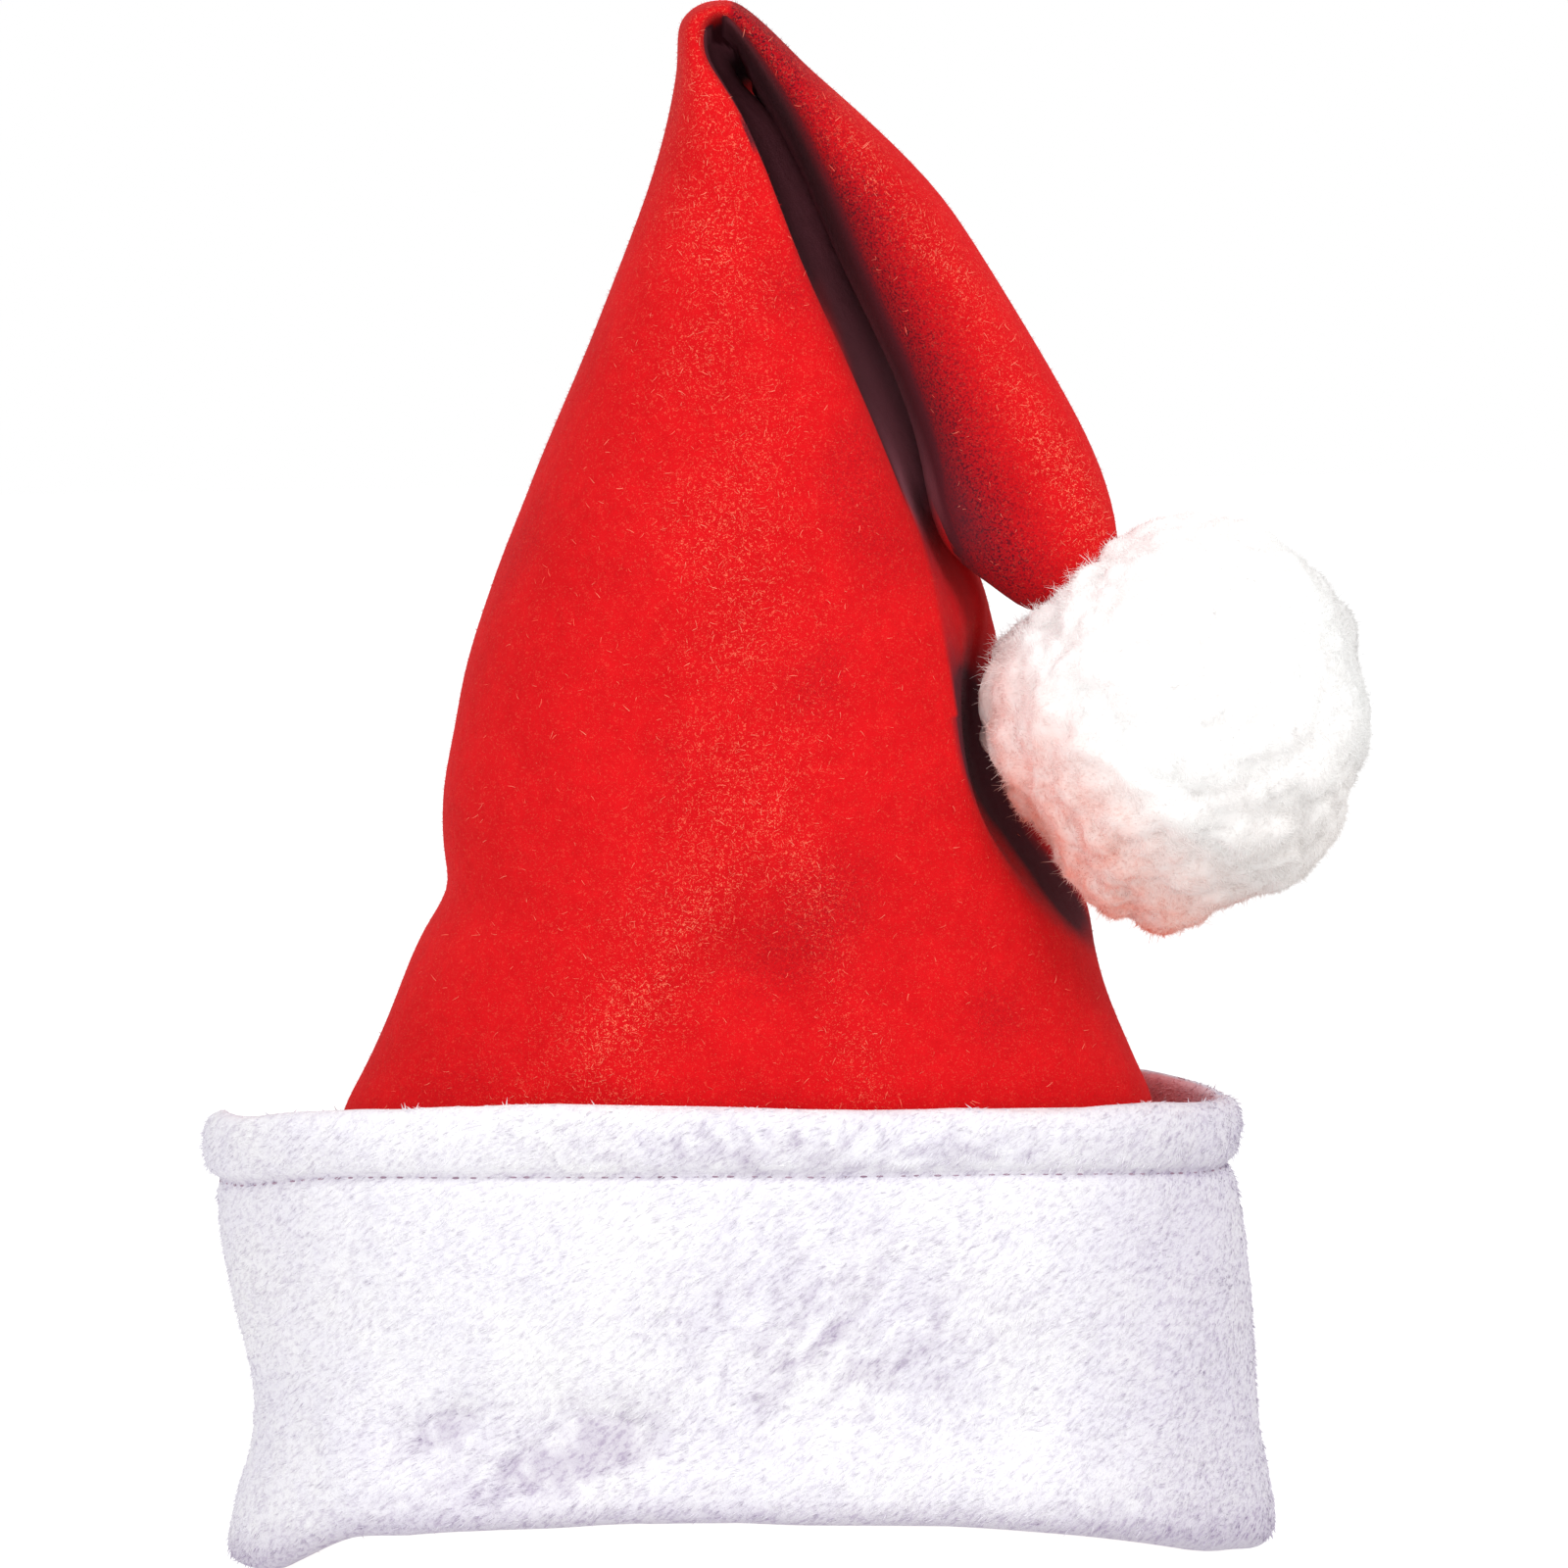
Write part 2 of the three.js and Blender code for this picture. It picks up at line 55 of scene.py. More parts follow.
ball_low, ball_high = (np.array(corner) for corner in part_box("pompom"))
peak = crown_high[2]
cuff_mid = (cuff_low + cuff_high) / 2
ball_mid = Vector((ball_low + ball_high) / 2)
ball_radius = (ball_high[2] - ball_low[2]) / 2
print("nodes", sorted(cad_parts), "peak", round(peak, 4), "ball radius", round(ball_radius, 4))

# %% [markdown]
# ## The camera
# A product photograph of a hat is taken with a long lens, a little above the table. A long lens keeps
# the outline almost the same as a drawing's. The picture is 1600 pixels wide, each 0.225 mm, and its
# right side stands a touch higher, so the camera is rolled by less than a degree.

# %% The camera
PIXELS = 1600
MM_PER_PIXEL = 0.225
ELEVATION = math.radians(4.0)
ROLL = math.radians(-0.86)
DISTANCE = 2.4
SENSOR = 36.0
CLIP_END = 20
AIM_X, AIM_Z = 0.2 * MM, 177.6 * MM
target = Vector((AIM_X, cuff_mid[1], AIM_Z))
to_camera = Vector((0, -math.cos(ELEVATION), math.sin(ELEVATION))) * DISTANCE
bpy.ops.object.camera_add(location=target + to_camera, rotation=(math.pi / 2 - ELEVATION, 0, 0))
camera = bpy.context.object
camera.rotation_euler.rotate_axis("Z", ROLL)
camera.data.sensor_width = SENSOR
camera.data.lens = SENSOR * DISTANCE / (PIXELS * MM_PER_PIXEL * MM)
camera.data.clip_end = CLIP_END
bpy.context.scene.camera = camera
print("lens", round(camera.data.lens), "mm")

# %% [markdown]
# ## The light
# The photograph is lit softly from the upper right and the front, on white. Two large area lamps and
# a pale world give that. The camera sees the world and the floor as pure white, so that no horizon
# shows, while the hat itself is lit more gently.

# %% The light and the floor
SKY_LIGHT = 0.78
TABLE_LIGHT = 0.75
SEEN_LIGHT = 1.0
TABLE_GREY = 0.15
LAMP_AIM = Vector((0, 0, 0.17))
# The name, place, width in metres and power in watts of each lamp.
LAMPS = (("key", (0.85, -1.1, 1.3), 0.7, 11), ("fill", (-0.9, -1.4, 0.4), 1.2, 8.5))


def seen_white(tree, socket, light):
    """Give a strength socket full white for the camera and light for everything else."""
    path = tree.nodes.new("ShaderNodeLightPath")
    range_node = tree.nodes.new("ShaderNodeMapRange")
    range_node.inputs["To Min"].default_value = light
    range_node.inputs["To Max"].default_value = SEEN_LIGHT
    tree.links.new(path.outputs["Is Camera Ray"], range_node.inputs["Value"])
    tree.links.new(range_node.outputs["Result"], socket)


world = bpy.data.worlds.new("studio")
bpy.context.scene.world = world
world.use_nodes = True
sky = world.node_tree.nodes["Background"]
sky.inputs["Color"].default_value = (1, 1, 1, 1)
seen_white(world.node_tree, sky.inputs["Strength"], SKY_LIGHT)
bpy.context.scene.view_settings.view_transform = "Standard"

for name, place, size, power in LAMPS:
    bpy.ops.object.light_add(type="AREA", location=place)
    lamp = bpy.context.object
    lamp.name = name
    lamp.data.size = size
    lamp.data.energy = power
    lamp.rotation_euler = (LAMP_AIM - Vector(place)).to_track_quat("-Z", "Y").to_euler()

bpy.ops.mesh.primitive_plane_add(size=12, location=(0, 0, 0))
floor = bpy.context.object
floor.name = "floor"
paint = bpy.data.materials.new("light_table")
paint.use_nodes = True
surface = paint.node_tree.nodes["Principled BSDF"].inputs
surface["Base Color"].default_value = (TABLE_GREY, TABLE_GREY, TABLE_GREY, 1)
surface["Roughness"].default_value = 0.9
surface["Specular IOR Level"].default_value = 0.0
surface["Emission Color"].default_value = (1, 1, 1, 1)
seen_white(paint.node_tree, surface["Emission Strength"], TABLE_LIGHT)
floor.data.materials.append(paint)

# %% [markdown]
# ## Hand tools
# A few things are done again and again: take hold of one object, apply its modifiers, read or move
# all its points at once, and send rays at it. They are written once here.

# %% Hand tools
def hold(obj):
    """Make obj the only selected object."""
    for other in bpy.context.selected_objects:
        other.select_set(False)
    obj.select_set(True)
    bpy.context.view_layer.objects.active = obj


def bake(obj):
    """Apply every modifier of obj, in order."""
    hold(obj)
    for modifier in list(obj.modifiers):
        bpy.ops.object.modifier_apply(modifier=modifier.name)


def numbers_of(obj, name):
    """The places ("co") or the normals ("normal") of all points of obj, one row for each."""
    flat = np.empty(len(obj.data.vertices) * 3)
    obj.data.vertices.foreach_get(name, flat)
    return flat.reshape(-1, 3)


def points_of(obj):
    return numbers_of(obj, "co")


def normals_of(obj):
    return numbers_of(obj, "normal")


def put_points(obj, points):
    obj.data.vertices.foreach_set("co", np.asarray(points).ravel())
    obj.data.update()


def set_trait(obj, name, values):
    """Keep one number per point, for shaders and for growing strands."""
    layer = obj.data.attributes.get(name) or obj.data.attributes.new(name, "FLOAT", "POINT")
    layer.data.foreach_set("value", np.asarray(values, dtype=np.float32))


def triangles(obj):
    obj.data.calc_loop_triangles()
    return len(obj.data.loop_triangles)


def ray_target(obj):
    """obj as it is now, for rays."""
    return BVHTree.FromObject(obj, bpy.context.evaluated_depsgraph_get())


def bell(distance):
    """1 at distance 0, and smoothly down to nearly 0 at 2."""
    return np.exp(-distance * distance)


def rise(values, low, high):
    """0 below low, 1 above high, and smooth between them."""
    share = np.clip((values - low) / (high - low), 0, 1)
    return share * share * (3 - 2 * share)


def drift(points, size, seed):
    """Smooth noise between -1 and 1 at each point, with hills about size across."""
    offset = Vector((seed * 3.1, seed * 7.7, seed * 1.3))
    return np.array([noise.noise(Vector(p) / size + offset) for p in points])


# %% [markdown]
# ## Node tools
# Shaders and Geometry Nodes are both trees of nodes. One function adds a node, sets its options, and
# fills its sockets: with a number or a colour, or with a link when it is given another socket.

# %% Node tools
def node(tree, kind, inputs=None, **settings):
    made = tree.nodes.new(kind)
    for key, value in settings.items():
        setattr(made, key, value)
    for key, value in (inputs or {}).items():
        if isinstance(value, bpy.types.NodeSocket):
            tree.links.new(value, made.inputs[key])
        else:
            made.inputs[key].default_value = value
    return made


def blend(tree, factor, first, second):
    """The colour between first and second."""
    made = node(tree, "ShaderNodeMix", {0: factor, 6: first, 7: second}, data_type="RGBA")
    return made.outputs[2]


def math_node(tree, operation, first, second):
    return node(tree, "ShaderNodeMath", {0: first, 1: second}, operation=operation).outputs[0]


def vector_node(tree, operation, first, second):
    return node(tree, "ShaderNodeVectorMath", {0: first, 1: second}, operation=operation).outputs[0]


def noise_node(tree, place, scale, detail, **sockets):
    """Smooth noise at place, with about scale hills to the metre."""
    inputs = {"Vector": place, "Scale": scale, "Detail": detail, **sockets}
    return node(tree, "ShaderNodeTexNoise", inputs)


def spread_out(tree, value, low, high):
    """value, where low to high becomes 0 to 1."""
    made = node(tree, "ShaderNodeMapRange", {"Value": value, "From Min": low, "From Max": high})
    return made.outputs["Result"]


def linear(red, green, blue):
    """A screen colour from 0 to 255 as Blender's own linear colour, by the sRGB curve."""
    shares = [value / 255 for value in (red, green, blue)]
    return (*(s / 12.92 if s <= 0.04045 else ((s + 0.055) / 1.055) ** 2.4 for s in shares), 1.0)


# %% [markdown]
# ## Fibre and mottle
# Felt, fleece and wool differ in colour and in how coarse they are, but share two effects. The fibre
# group gives a height for bumps and scattered flecks. The mottle group gives soft cloudy patches.

# %% Fibre and mottle
SWELL_SHARE = 0.16
FLECK_RANGE = (0.585, 0.65)
GRAINS_TO_PATCH = 7.0
PATCH_RANGE = (0.62, 1.0)


def group_of(name, outputs):
    """A new group with its input node and its output node."""
    group = bpy.data.node_groups.new(name, "ShaderNodeTree")
    group.interface.new_socket("Vector", in_out="INPUT", socket_type="NodeSocketVector")
    group.interface.new_socket("Size", in_out="INPUT", socket_type="NodeSocketFloat")
    for output in outputs:
        group.interface.new_socket(output, in_out="OUTPUT", socket_type="NodeSocketFloat")
    return group, node(group, "NodeGroupInput"), node(group, "NodeGroupOutput")


fibre, entry, leave = group_of("fibre", ("Height", "Fleck"))
fine = math_node(fibre, "DIVIDE", 1.0, entry.outputs["Size"])
coarse = math_node(fibre, "DIVIDE", SWELL_SHARE, entry.outputs["Size"])
hairs = noise_node(fibre, entry.outputs["Vector"], fine, 2.0, Distortion=1.5).outputs[0]
swells = noise_node(fibre, entry.outputs["Vector"], coarse, 2.0).outputs[0]
bumps = math_node(fibre, "ADD", math_node(fibre, "MULTIPLY", hairs, 0.4), swells)
fibre.links.new(bumps, leave.inputs["Height"])
fibre.links.new(spread_out(fibre, hairs, *FLECK_RANGE), leave.inputs["Fleck"])

mottle, entry, leave = group_of("mottle", ("Patch",))
per_patch = math_node(mottle, "DIVIDE", 1.0, entry.outputs["Size"])
per_grain = math_node(mottle, "DIVIDE", GRAINS_TO_PATCH, entry.outputs["Size"])
patches = noise_node(mottle, entry.outputs["Vector"], per_patch, 4.0, Roughness=0.62).outputs[0]
grains = noise_node(mottle, entry.outputs["Vector"], per_grain, 3.0).outputs[0]
both = math_node(mottle, "ADD", patches, math_node(mottle, "MULTIPLY", grains, 0.6))
mottle.links.new(spread_out(mottle, both, *PATCH_RANGE), leave.inputs["Patch"])
print("groups", [group.name for group in (fibre, mottle)])


# %% [markdown]
# ## The cloths
# Every cloth is rough, with no gloss, and has a little sheen, because loose fibres catch light at
# the edges. The felt has painted shade where it is deep in a fold, beside the slot, the ridge and the
# pompom, darker random patches, and painted highlights of pale flecks along a band where it catches
# the light. The fleece has slanting streaks of grey, and painted shade. The wool has painted shade
# below and at its right, and a painted red reflection where the red felt shines on it. The seam's
# thread only varies between two tones, and the stray fibres between two pale tones, a painted
# highlight.

# %% The cloths
RED, BRIGHT_RED = linear(208, 15, 22), linear(221, 20, 26)
# Painted shade on the tail beside the slot and in the front's hollow, and darker random patches.
SHADE_AND_PATCH_RED = linear(170, 14, 26)
# Dark speckles within the painted shade and the random patches.
DARK_SPECK_RED = linear(84, 12, 28)
# Pale flecks, painted highlights where fibres catch the light.
HIGHLIGHT_FLECK_RED = linear(254, 136, 104)
# Painted shade for the felt in its folds, beside the ridge and behind the pompom.
FELT_SHADE_RED = linear(92, 36, 46)
# The tint of the painted shade where the fold is deepest.
INMOST_SHADE_RED = linear(166, 99, 112)
PILE, BRIGHT_PILE = linear(248, 247, 252), linear(255, 255, 255)
# Lavender for the fleece's streaks and for its painted shade.
STREAK_AND_SHADE_LAVENDER = linear(160, 142, 174)
RED_GLOW = linear(226, 120, 124)
WOOL, BRIGHT_WOOL = linear(250, 248, 247), linear(255, 255, 254)
# Painted shade for the pompom's underside and its right side.
WOOL_SHADE_BELOW = linear(226, 219, 215)
WOOL_SHADE_RIGHT = linear(222, 221, 220)
# A painted reflection of the red felt on the wool.
RED_BOUNCE = linear(246, 160, 138)
THREAD_TONES = linear(150, 122, 140), linear(184, 160, 176)
# The stray fibres are painted pale, a highlight where they catch the light.
STRAY_HIGHLIGHT_TONES = linear(240, 92, 74), linear(250, 150, 124)


def cloth(name, fibre_size, patch_size, bump, sheen):
    """A rough cloth material, with its colour's socket and the parts that its colour is made from."""
    material = bpy.data.materials.new(name)
    material.use_nodes = True
    tree = material.node_tree
    shader = tree.nodes["Principled BSDF"]
    shader.inputs["Roughness"].default_value = 0.95
    shader.inputs["Specular IOR Level"].default_value = 0.08
    shader.inputs["Sheen Weight"].default_value = sheen
    shader.inputs["Sheen Roughness"].default_value = 0.5
    place = node(tree, "ShaderNodeTexCoord").outputs["Object"]
    hair = node(tree, "ShaderNodeGroup", node_tree=fibre)
    patch = node(tree, "ShaderNodeGroup", node_tree=mottle)
    for each, size in ((hair, fibre_size), (patch, patch_size)):
        tree.links.new(place, each.inputs["Vector"])
        each.inputs["Size"].default_value = size
    rough = node(
        tree, "ShaderNodeBump",
        {"Height": hair.outputs["Height"], "Strength": bump, "Distance": fibre_size},
    )
    tree.links.new(rough.outputs[0], shader.inputs["Normal"])
    colour = shader.inputs["Base Color"]
    return material, tree, colour, place, hair.outputs["Fleck"], patch.outputs["Patch"]


def trait(tree, name):
    return node(tree, "ShaderNodeAttribute", attribute_name=name).outputs["Fac"]


def make_felt():
    material, tree, colour, place, fleck, patch = cloth("red_felt", 0.55 * MM, 22 * MM, 0.6, 0.02)
    shade_and_patches = trait(tree, "shade_and_patches")
    red = blend(tree, shade_and_patches, blend(tree, patch, RED, BRIGHT_RED), SHADE_AND_PATCH_RED)
    # Dark speckles, only where there is painted shade or a random patch.
    speckles = noise_node(tree, place, 1 / (0.5 * MM), 1.0).outputs[0]
    red = blend(tree, math_node(tree, "MULTIPLY", spread_out(tree, speckles, 0.5, 0.62), shade_and_patches), red, DARK_SPECK_RED)
    # Painted highlights: pale flecks along the band that catches the light.
    red = blend(tree, math_node(tree, "MULTIPLY", fleck, trait(tree, "highlight_band")), red, HIGHLIGHT_FLECK_RED)
    # Painted shade where the felt lies deep in a fold or beside the ridge and the pompom.
    red = blend(tree, trait(tree, "felt_shade"), red, FELT_SHADE_RED)
    # A paler violet tint of the painted shade in the fold's inmost part.
    red = blend(tree, trait(tree, "inmost_shade"), red, INMOST_SHADE_RED)
    tree.links.new(red, colour)
    return material


def make_fleece():
    material, tree, colour, place, fleck, patch = cloth("white_fleece", 0.9 * MM, 30 * MM, 0.7, 0.03)
    slanted = node(
        tree, "ShaderNodeMapping",
        {"Vector": place, "Rotation": (0, 0.9, 0), "Scale": (1, 1.6, 2.6)}, vector_type="TEXTURE",
    )
    waves = noise_node(tree, slanted.outputs[0], 1 / (1.0 * MM), 3.0, Roughness=0.65).outputs[0]
    tone = math_node(tree, "MULTIPLY", math_node(tree, "POWER", trait(tree, "tone"), 2.0), 1.2)
    tone = math_node(tree, "ADD", spread_out(tree, waves, 0.48, 0.66), tone)
    streak = math_node(tree, "ADD", math_node(tree, "MULTIPLY", fleck, 0.3), tone)
    # Painted shade and grey mottles, plus slanting streaks that the fleece has everywhere.
    shade_and_mottle = trait(tree, "shade_and_mottle")
    share = math_node(tree, "ADD", math_node(tree, "MULTIPLY", shade_and_mottle, 0.12), 0.18)
    even = math_node(tree, "MULTIPLY", shade_and_mottle, 0.42)
    streaks_and_shade = math_node(tree, "ADD", math_node(tree, "MULTIPLY", share, streak), even)
    white = blend(tree, streaks_and_shade, blend(tree, patch, PILE, BRIGHT_PILE), STREAK_AND_SHADE_LAVENDER)
    tree.links.new(blend(tree, trait(tree, "glow"), white, RED_GLOW), colour)
    return material


def make_wool():
    material, tree, colour, place, _, patch = cloth("white_wool", 0.7 * MM, 26 * MM, 0.5, 0.03)
    away = vector_node(tree, "SUBTRACT", place, tuple(ball_mid))

    def toward(way, start, end):
        """0 to 1 between start and end, which are in ball radii from the middle along way."""
        product = node(tree, "ShaderNodeVectorMath", {0: away, 1: way}, operation="DOT_PRODUCT")
        return spread_out(tree, product.outputs["Value"], start * ball_radius, end * ball_radius)

    white = blend(tree, patch, WOOL, BRIGHT_WOOL)
    # Painted shade below and at the right of the pompom.
    white = blend(tree, toward((0.25, 0.0, -0.97), 0.1, 1.3), white, WOOL_SHADE_BELOW)
    white = blend(tree, toward((0.96, 0.2, 0.2), 0.6, 1.1), white, WOOL_SHADE_RIGHT)
    # A painted red reflection of the felt at the lower left, in patches.
    patchy = math_node(tree, "ADD", math_node(tree, "MULTIPLY", patch, 0.8), 0.5)
    red_bounce = math_node(tree, "MULTIPLY", toward((-0.72, 0.1, -0.68), 0.2, 1.0), patchy)
    tree.links.new(blend(tree, red_bounce, white, RED_BOUNCE), colour)
    return material


def two_toned(name, sheen, tones):
    material, tree, colour, _, _, patch = cloth(name, 0.3 * MM, 20 * MM, 0.2, sheen)
    tree.links.new(blend(tree, patch, *tones), colour)
    return material


felt, fleece, wool = make_felt(), make_fleece(), make_wool()
thread = two_toned("seam_thread", 0.05, THREAD_TONES)
stray = two_toned("stray_fibre", 0.1, STRAY_HIGHLIGHT_TONES)
print("materials", [material.name for material in (felt, fleece, wool, thread, stray)])


def dress(obj, material):
    obj.data.materials.clear()
    obj.data.materials.append(material)


# %% [markdown]
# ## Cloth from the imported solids
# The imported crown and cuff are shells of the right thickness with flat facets. Felt is smooth, so a
# copy of each has its triangles joined back to quads and is subdivided. Modelling it again would only
# risk a different outline.

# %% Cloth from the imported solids
WELD = 0.02 * MM
JOIN_ANGLE = math.radians(70)
SMOOTHING = 2


def cloth_copy(node_name, name, material):
    """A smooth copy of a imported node, dressed in material."""
    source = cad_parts[node_name]
    piece = source.copy()
    piece.data = source.data.copy()
    piece.name = name
    bpy.context.collection.objects.link(piece)
    piece.hide_render = False
    hold(piece)
    bpy.ops.object.mode_set(mode="EDIT")
    bpy.ops.mesh.select_all(action="SELECT")
    bpy.ops.mesh.remove_doubles(threshold=WELD)
    bpy.ops.mesh.tris_convert_to_quads(face_threshold=JOIN_ANGLE, shape_threshold=JOIN_ANGLE)
    bpy.ops.object.mode_set(mode="OBJECT")
    smooth = piece.modifiers.new("smooth", "SUBSURF")
    smooth.levels = SMOOTHING
    smooth.render_levels = SMOOTHING
    bake(piece)
    bpy.ops.object.shade_smooth()
    dress(piece, material)
    print(name, triangles(piece), "triangles")
    return piece


crown = cloth_copy("crown", "crown_felt", felt)
cuff = cloth_copy("cuff", "cuff_fleece", fleece)

# %% [markdown]
# ## Folds in the felt
# Real felt is never quite even. Smooth noise gives it slow waves, two soft ridges run down to the
# cuff's front as in the photograph, and a small crease crosses the left edge. Beside the pompom
# the front ends in a sharp ridge, so the mesh is made finer there, and the felt to the right of it is
# tucked back. The inner face moves with the outer one, so the felt keeps its thickness.

# %% Folds in the felt
# The middle of the slot, the ridge beside the pompom and the arch of the lower edge, as short tables.
SLOT_Z = (0.2, 0.21, 0.227, 0.254, 0.274, 0.298, 0.31, 0.327, 0.346)
SLOT_X = (0.052, 0.049, 0.0413, 0.0303, 0.0223, 0.0105, 0.0055, -0.0065, -0.0093)
RIDGE_Z = (0.118, 0.128, 0.138, 0.153, 0.178, 0.207, 0.232, 0.25, 0.26)
RIDGE_X = (0.089, 0.08, 0.0711, 0.0598, 0.0424, 0.0377, 0.0335, 0.0268, 0.023)
RIDGE_ROUNDING = 9 * MM
ARCH_X = (-0.1, -0.088, -0.06, -0.035, 0.035, 0.09)
ARCH_MM = (1.8, 0.9, 2.6, 4.2, 4.2, 1.6)
CROWN_ARCH = 1.1
# The soft ridges at the front run from one place (x, z) to another.
LEFT_FOLD = ((-0.0025, 0.175), (-0.046, 0.117))
RIGHT_FOLD = ((0.004, 0.165), (0.018, 0.108))
FOLD_WIDTH = 5.5 * MM
CROWN_MID_Y = 2.7 * MM
TUCKED_BACK = 5 * MM
TAIL_WIDENED = 6.5 * MM
CORNER_RAISED = 3.4 * MM
RIGHT_BULGE = 2.4 * MM


def from_line(x, z, start, end):
    """How far the points (x, z) are from the line between two places."""
    start, end = np.array(start), np.array(end)
    way = end - start
    share = np.clip(((x - start[0]) * way[0] + (z - start[1]) * way[1]) / way.dot(way), 0, 1)
    return np.hypot(x - start[0] - share * way[0], z - start[1] - share * way[1])


def arched(points):
    """How far the lower edge arches up at each point, in metres. The hat stands on its two ends."""
    arch = np.interp(points[:, 0], ARCH_X, ARCH_MM)
    arch *= (1 - rise(np.abs(points[:, 0]), 0.098, 0.112)) * (1 - rise(points[:, 2], 0.0, 0.04))
    return arch * MM * rise(cuff_mid[1] - points[:, 1], 0.0, 0.02)


def past_slot(points):
    """How far each point is to the right of the middle of the slot, so whether it is on the tail."""
    y, z = points[:, 1], points[:, 2]
    turns_right = 5 * rise(y, -0.012, 0) + 6 * rise(y, 0, 0.012)
    turns_right *= np.interp(z, (0.27, 0.3, 0.33), (1, 0.45, 0.2))
    return points[:, 0] - np.interp(z, SLOT_Z, SLOT_X) - turns_right * MM


def past_ridge(points):
    """How far each point is to the right of the front ridge, whose corners are rounded off."""
    steps = np.linspace(-RIDGE_ROUNDING, RIDGE_ROUNDING, 7)
    return points[:, 0] - np.mean([np.interp(points[:, 2] + s, RIDGE_Z, RIDGE_X) for s in steps], axis=0)


def refine(obj, chosen, cuts):
    """Make the mesh of obj finer where its points are chosen."""
    hold(obj)
    bpy.ops.object.mode_set(mode="EDIT")
    bpy.ops.mesh.select_all(action="DESELECT")
    bpy.ops.object.mode_set(mode="OBJECT")
    obj.data.vertices.foreach_set("select", chosen)
    bpy.ops.object.mode_set(mode="EDIT")
    bpy.ops.mesh.select_mode(type="VERT")
    bpy.ops.mesh.subdivide(number_cuts=cuts)
    bpy.ops.object.mode_set(mode="OBJECT")


spots = points_of(crown)
past = past_ridge(spots)
near_ridge = (past > -0.006) & (past < 0.013) & (spots[:, 2] > 0.128) & (spots[:, 2] < 0.255)
refine(crown, near_ridge & (spots[:, 1] < 0.004), 3)
spots = points_of(crown)
x, y, z = spots.T.copy()
on_tail = past_slot(spots)
standing = (on_tail < 0) | (z < 0.2)

# Waves, ridges, a hollow and a crease push the standing felt in and out from its middle.
middle_x = np.interp(z, (0.1, 0.2, 0.3, 0.35), (-0.011, -0.006, -0.012, -0.014))
out_x, out_y = x - middle_x, y - CROWN_MID_Y
from_middle = np.hypot(out_x, out_y) + 1e-6
waves = 1.3 * MM * drift(spots, 0.06, 3) + 0.5 * MM * drift(spots, 0.023, 4)
folds = 2.4 * bell(from_line(x, z, *LEFT_FOLD) / FOLD_WIDTH)
folds += 1.6 * bell(from_line(x, z, *RIGHT_FOLD) / FOLD_WIDTH)
hollow = -1.7 * bell(np.hypot((x + 0.001) / 0.017, (z - 0.139) / 0.009))
crease = -0.9 * bell((z - 0.1555) / 0.006) * rise(-x, 0.05, 0.075)
at_front = rise(-y, -0.01, 0.02)
push = (waves + ((folds + hollow) * at_front + crease) * MM) * rise(z, 0.108, 0.128) * standing
push *= 1 - rise(z, 0.29, 0.33)
spots[:, 0] += push * out_x / from_middle
spots[:, 1] += push * out_y / from_middle

# The felt to the right of the ridge is tucked back.
past = past_ridge(spots)
tuck = rise(past, -0.0005, 0.0035) * rise(z, 0.13, 0.15) * (1 - rise(z, 0.238, 0.254)) * standing
spots[:, 1] += TUCKED_BACK * tuck * rise(-y, 0.0, 0.012)

# Near the pompom the tail is wider and its lower left corner higher, and the crown bulges below it.
tail_left = (z < 0.27) * (z > 0.2) * ~standing * (x < 0.1)
widen = TAIL_WIDENED * bell((z - 0.233) / 0.02) * (1 - rise(on_tail, 0.006, 0.03))
spots[:, 0] -= widen * tail_left
raised = CORNER_RAISED * bell((z - 0.217) / 0.012) * (1 - rise(x, 0.05, 0.068))
spots[:, 2] += raised * tail_left
spots[:, 0] += RIGHT_BULGE * bell((z - 0.15) / 0.01) * rise(x, 0.045, 0.07)

# The slot is closed behind, and the foot follows the cuff's arch.
beside_slot = rise(on_tail, -0.018, -0.005) * (on_tail < 0.001)
behind = rise(y, -0.01, 0.004)
closing = 5.5 * bell((z - 0.314) / 0.022) + 5 * bell((z - 0.336) / 0.012)
spots[:, 0] += closing * MM * beside_slot * behind * (z < 0.349)
spots[:, 2] += CROWN_ARCH * arched(spots)
put_points(crown, spots)
print("felt moved by up to", round(float(np.abs(push).max() / MM), 1), "mm")

# %% [markdown]
# ## The seam of the cuff
# A seam pinches the cuff below its hem. Rays sent in from all round, a little below the rim, find
# where the cuff is pinched most, and the path they give carries the groove and the stitches.

# %% The seam of the cuff
AROUND = 256
RAY_START = 0.2
RAY_LENGTH = 0.19
RIM_FROM = 92 * MM
SEARCH_FROM, SEARCH_TO = 19 * MM, 11 * MM
cuff_tree = ray_target(cuff)
angles = np.arange(AROUND) * 2 * math.pi / AROUND
seam = np.zeros((AROUND, 3))
rim = points_of(cuff)
rim = rim[rim[:, 2] > RIM_FROM]
rim_angle = np.arctan2(rim[:, 1] - cuff_mid[1], rim[:, 0] - cuff_mid[0])
for i, angle in enumerate(angles):
    out = Vector((math.cos(angle), math.sin(angle), 0))
    top = rim[np.cos(rim_angle - angle) > 0.9995][:, 2].max()
    levels = np.linspace(top - SEARCH_FROM, top - SEARCH_TO, 33)
    origins = [Vector((cuff_mid[0], cuff_mid[1], level)) + out * RAY_START for level in levels]
    hits = [cuff_tree.ray_cast(origin, -out, RAY_LENGTH) for origin in origins]
    pinch = np.array([hit[3] for hit in hits])
    pinch -= np.linspace(pinch[0], pinch[-1], len(pinch))
    seam[i] = hits[int(pinch.argmax())][0]
for _ in range(4):
    seam = (np.roll(seam, 1, 0) + 2 * seam + np.roll(seam, -1, 0)) / 4
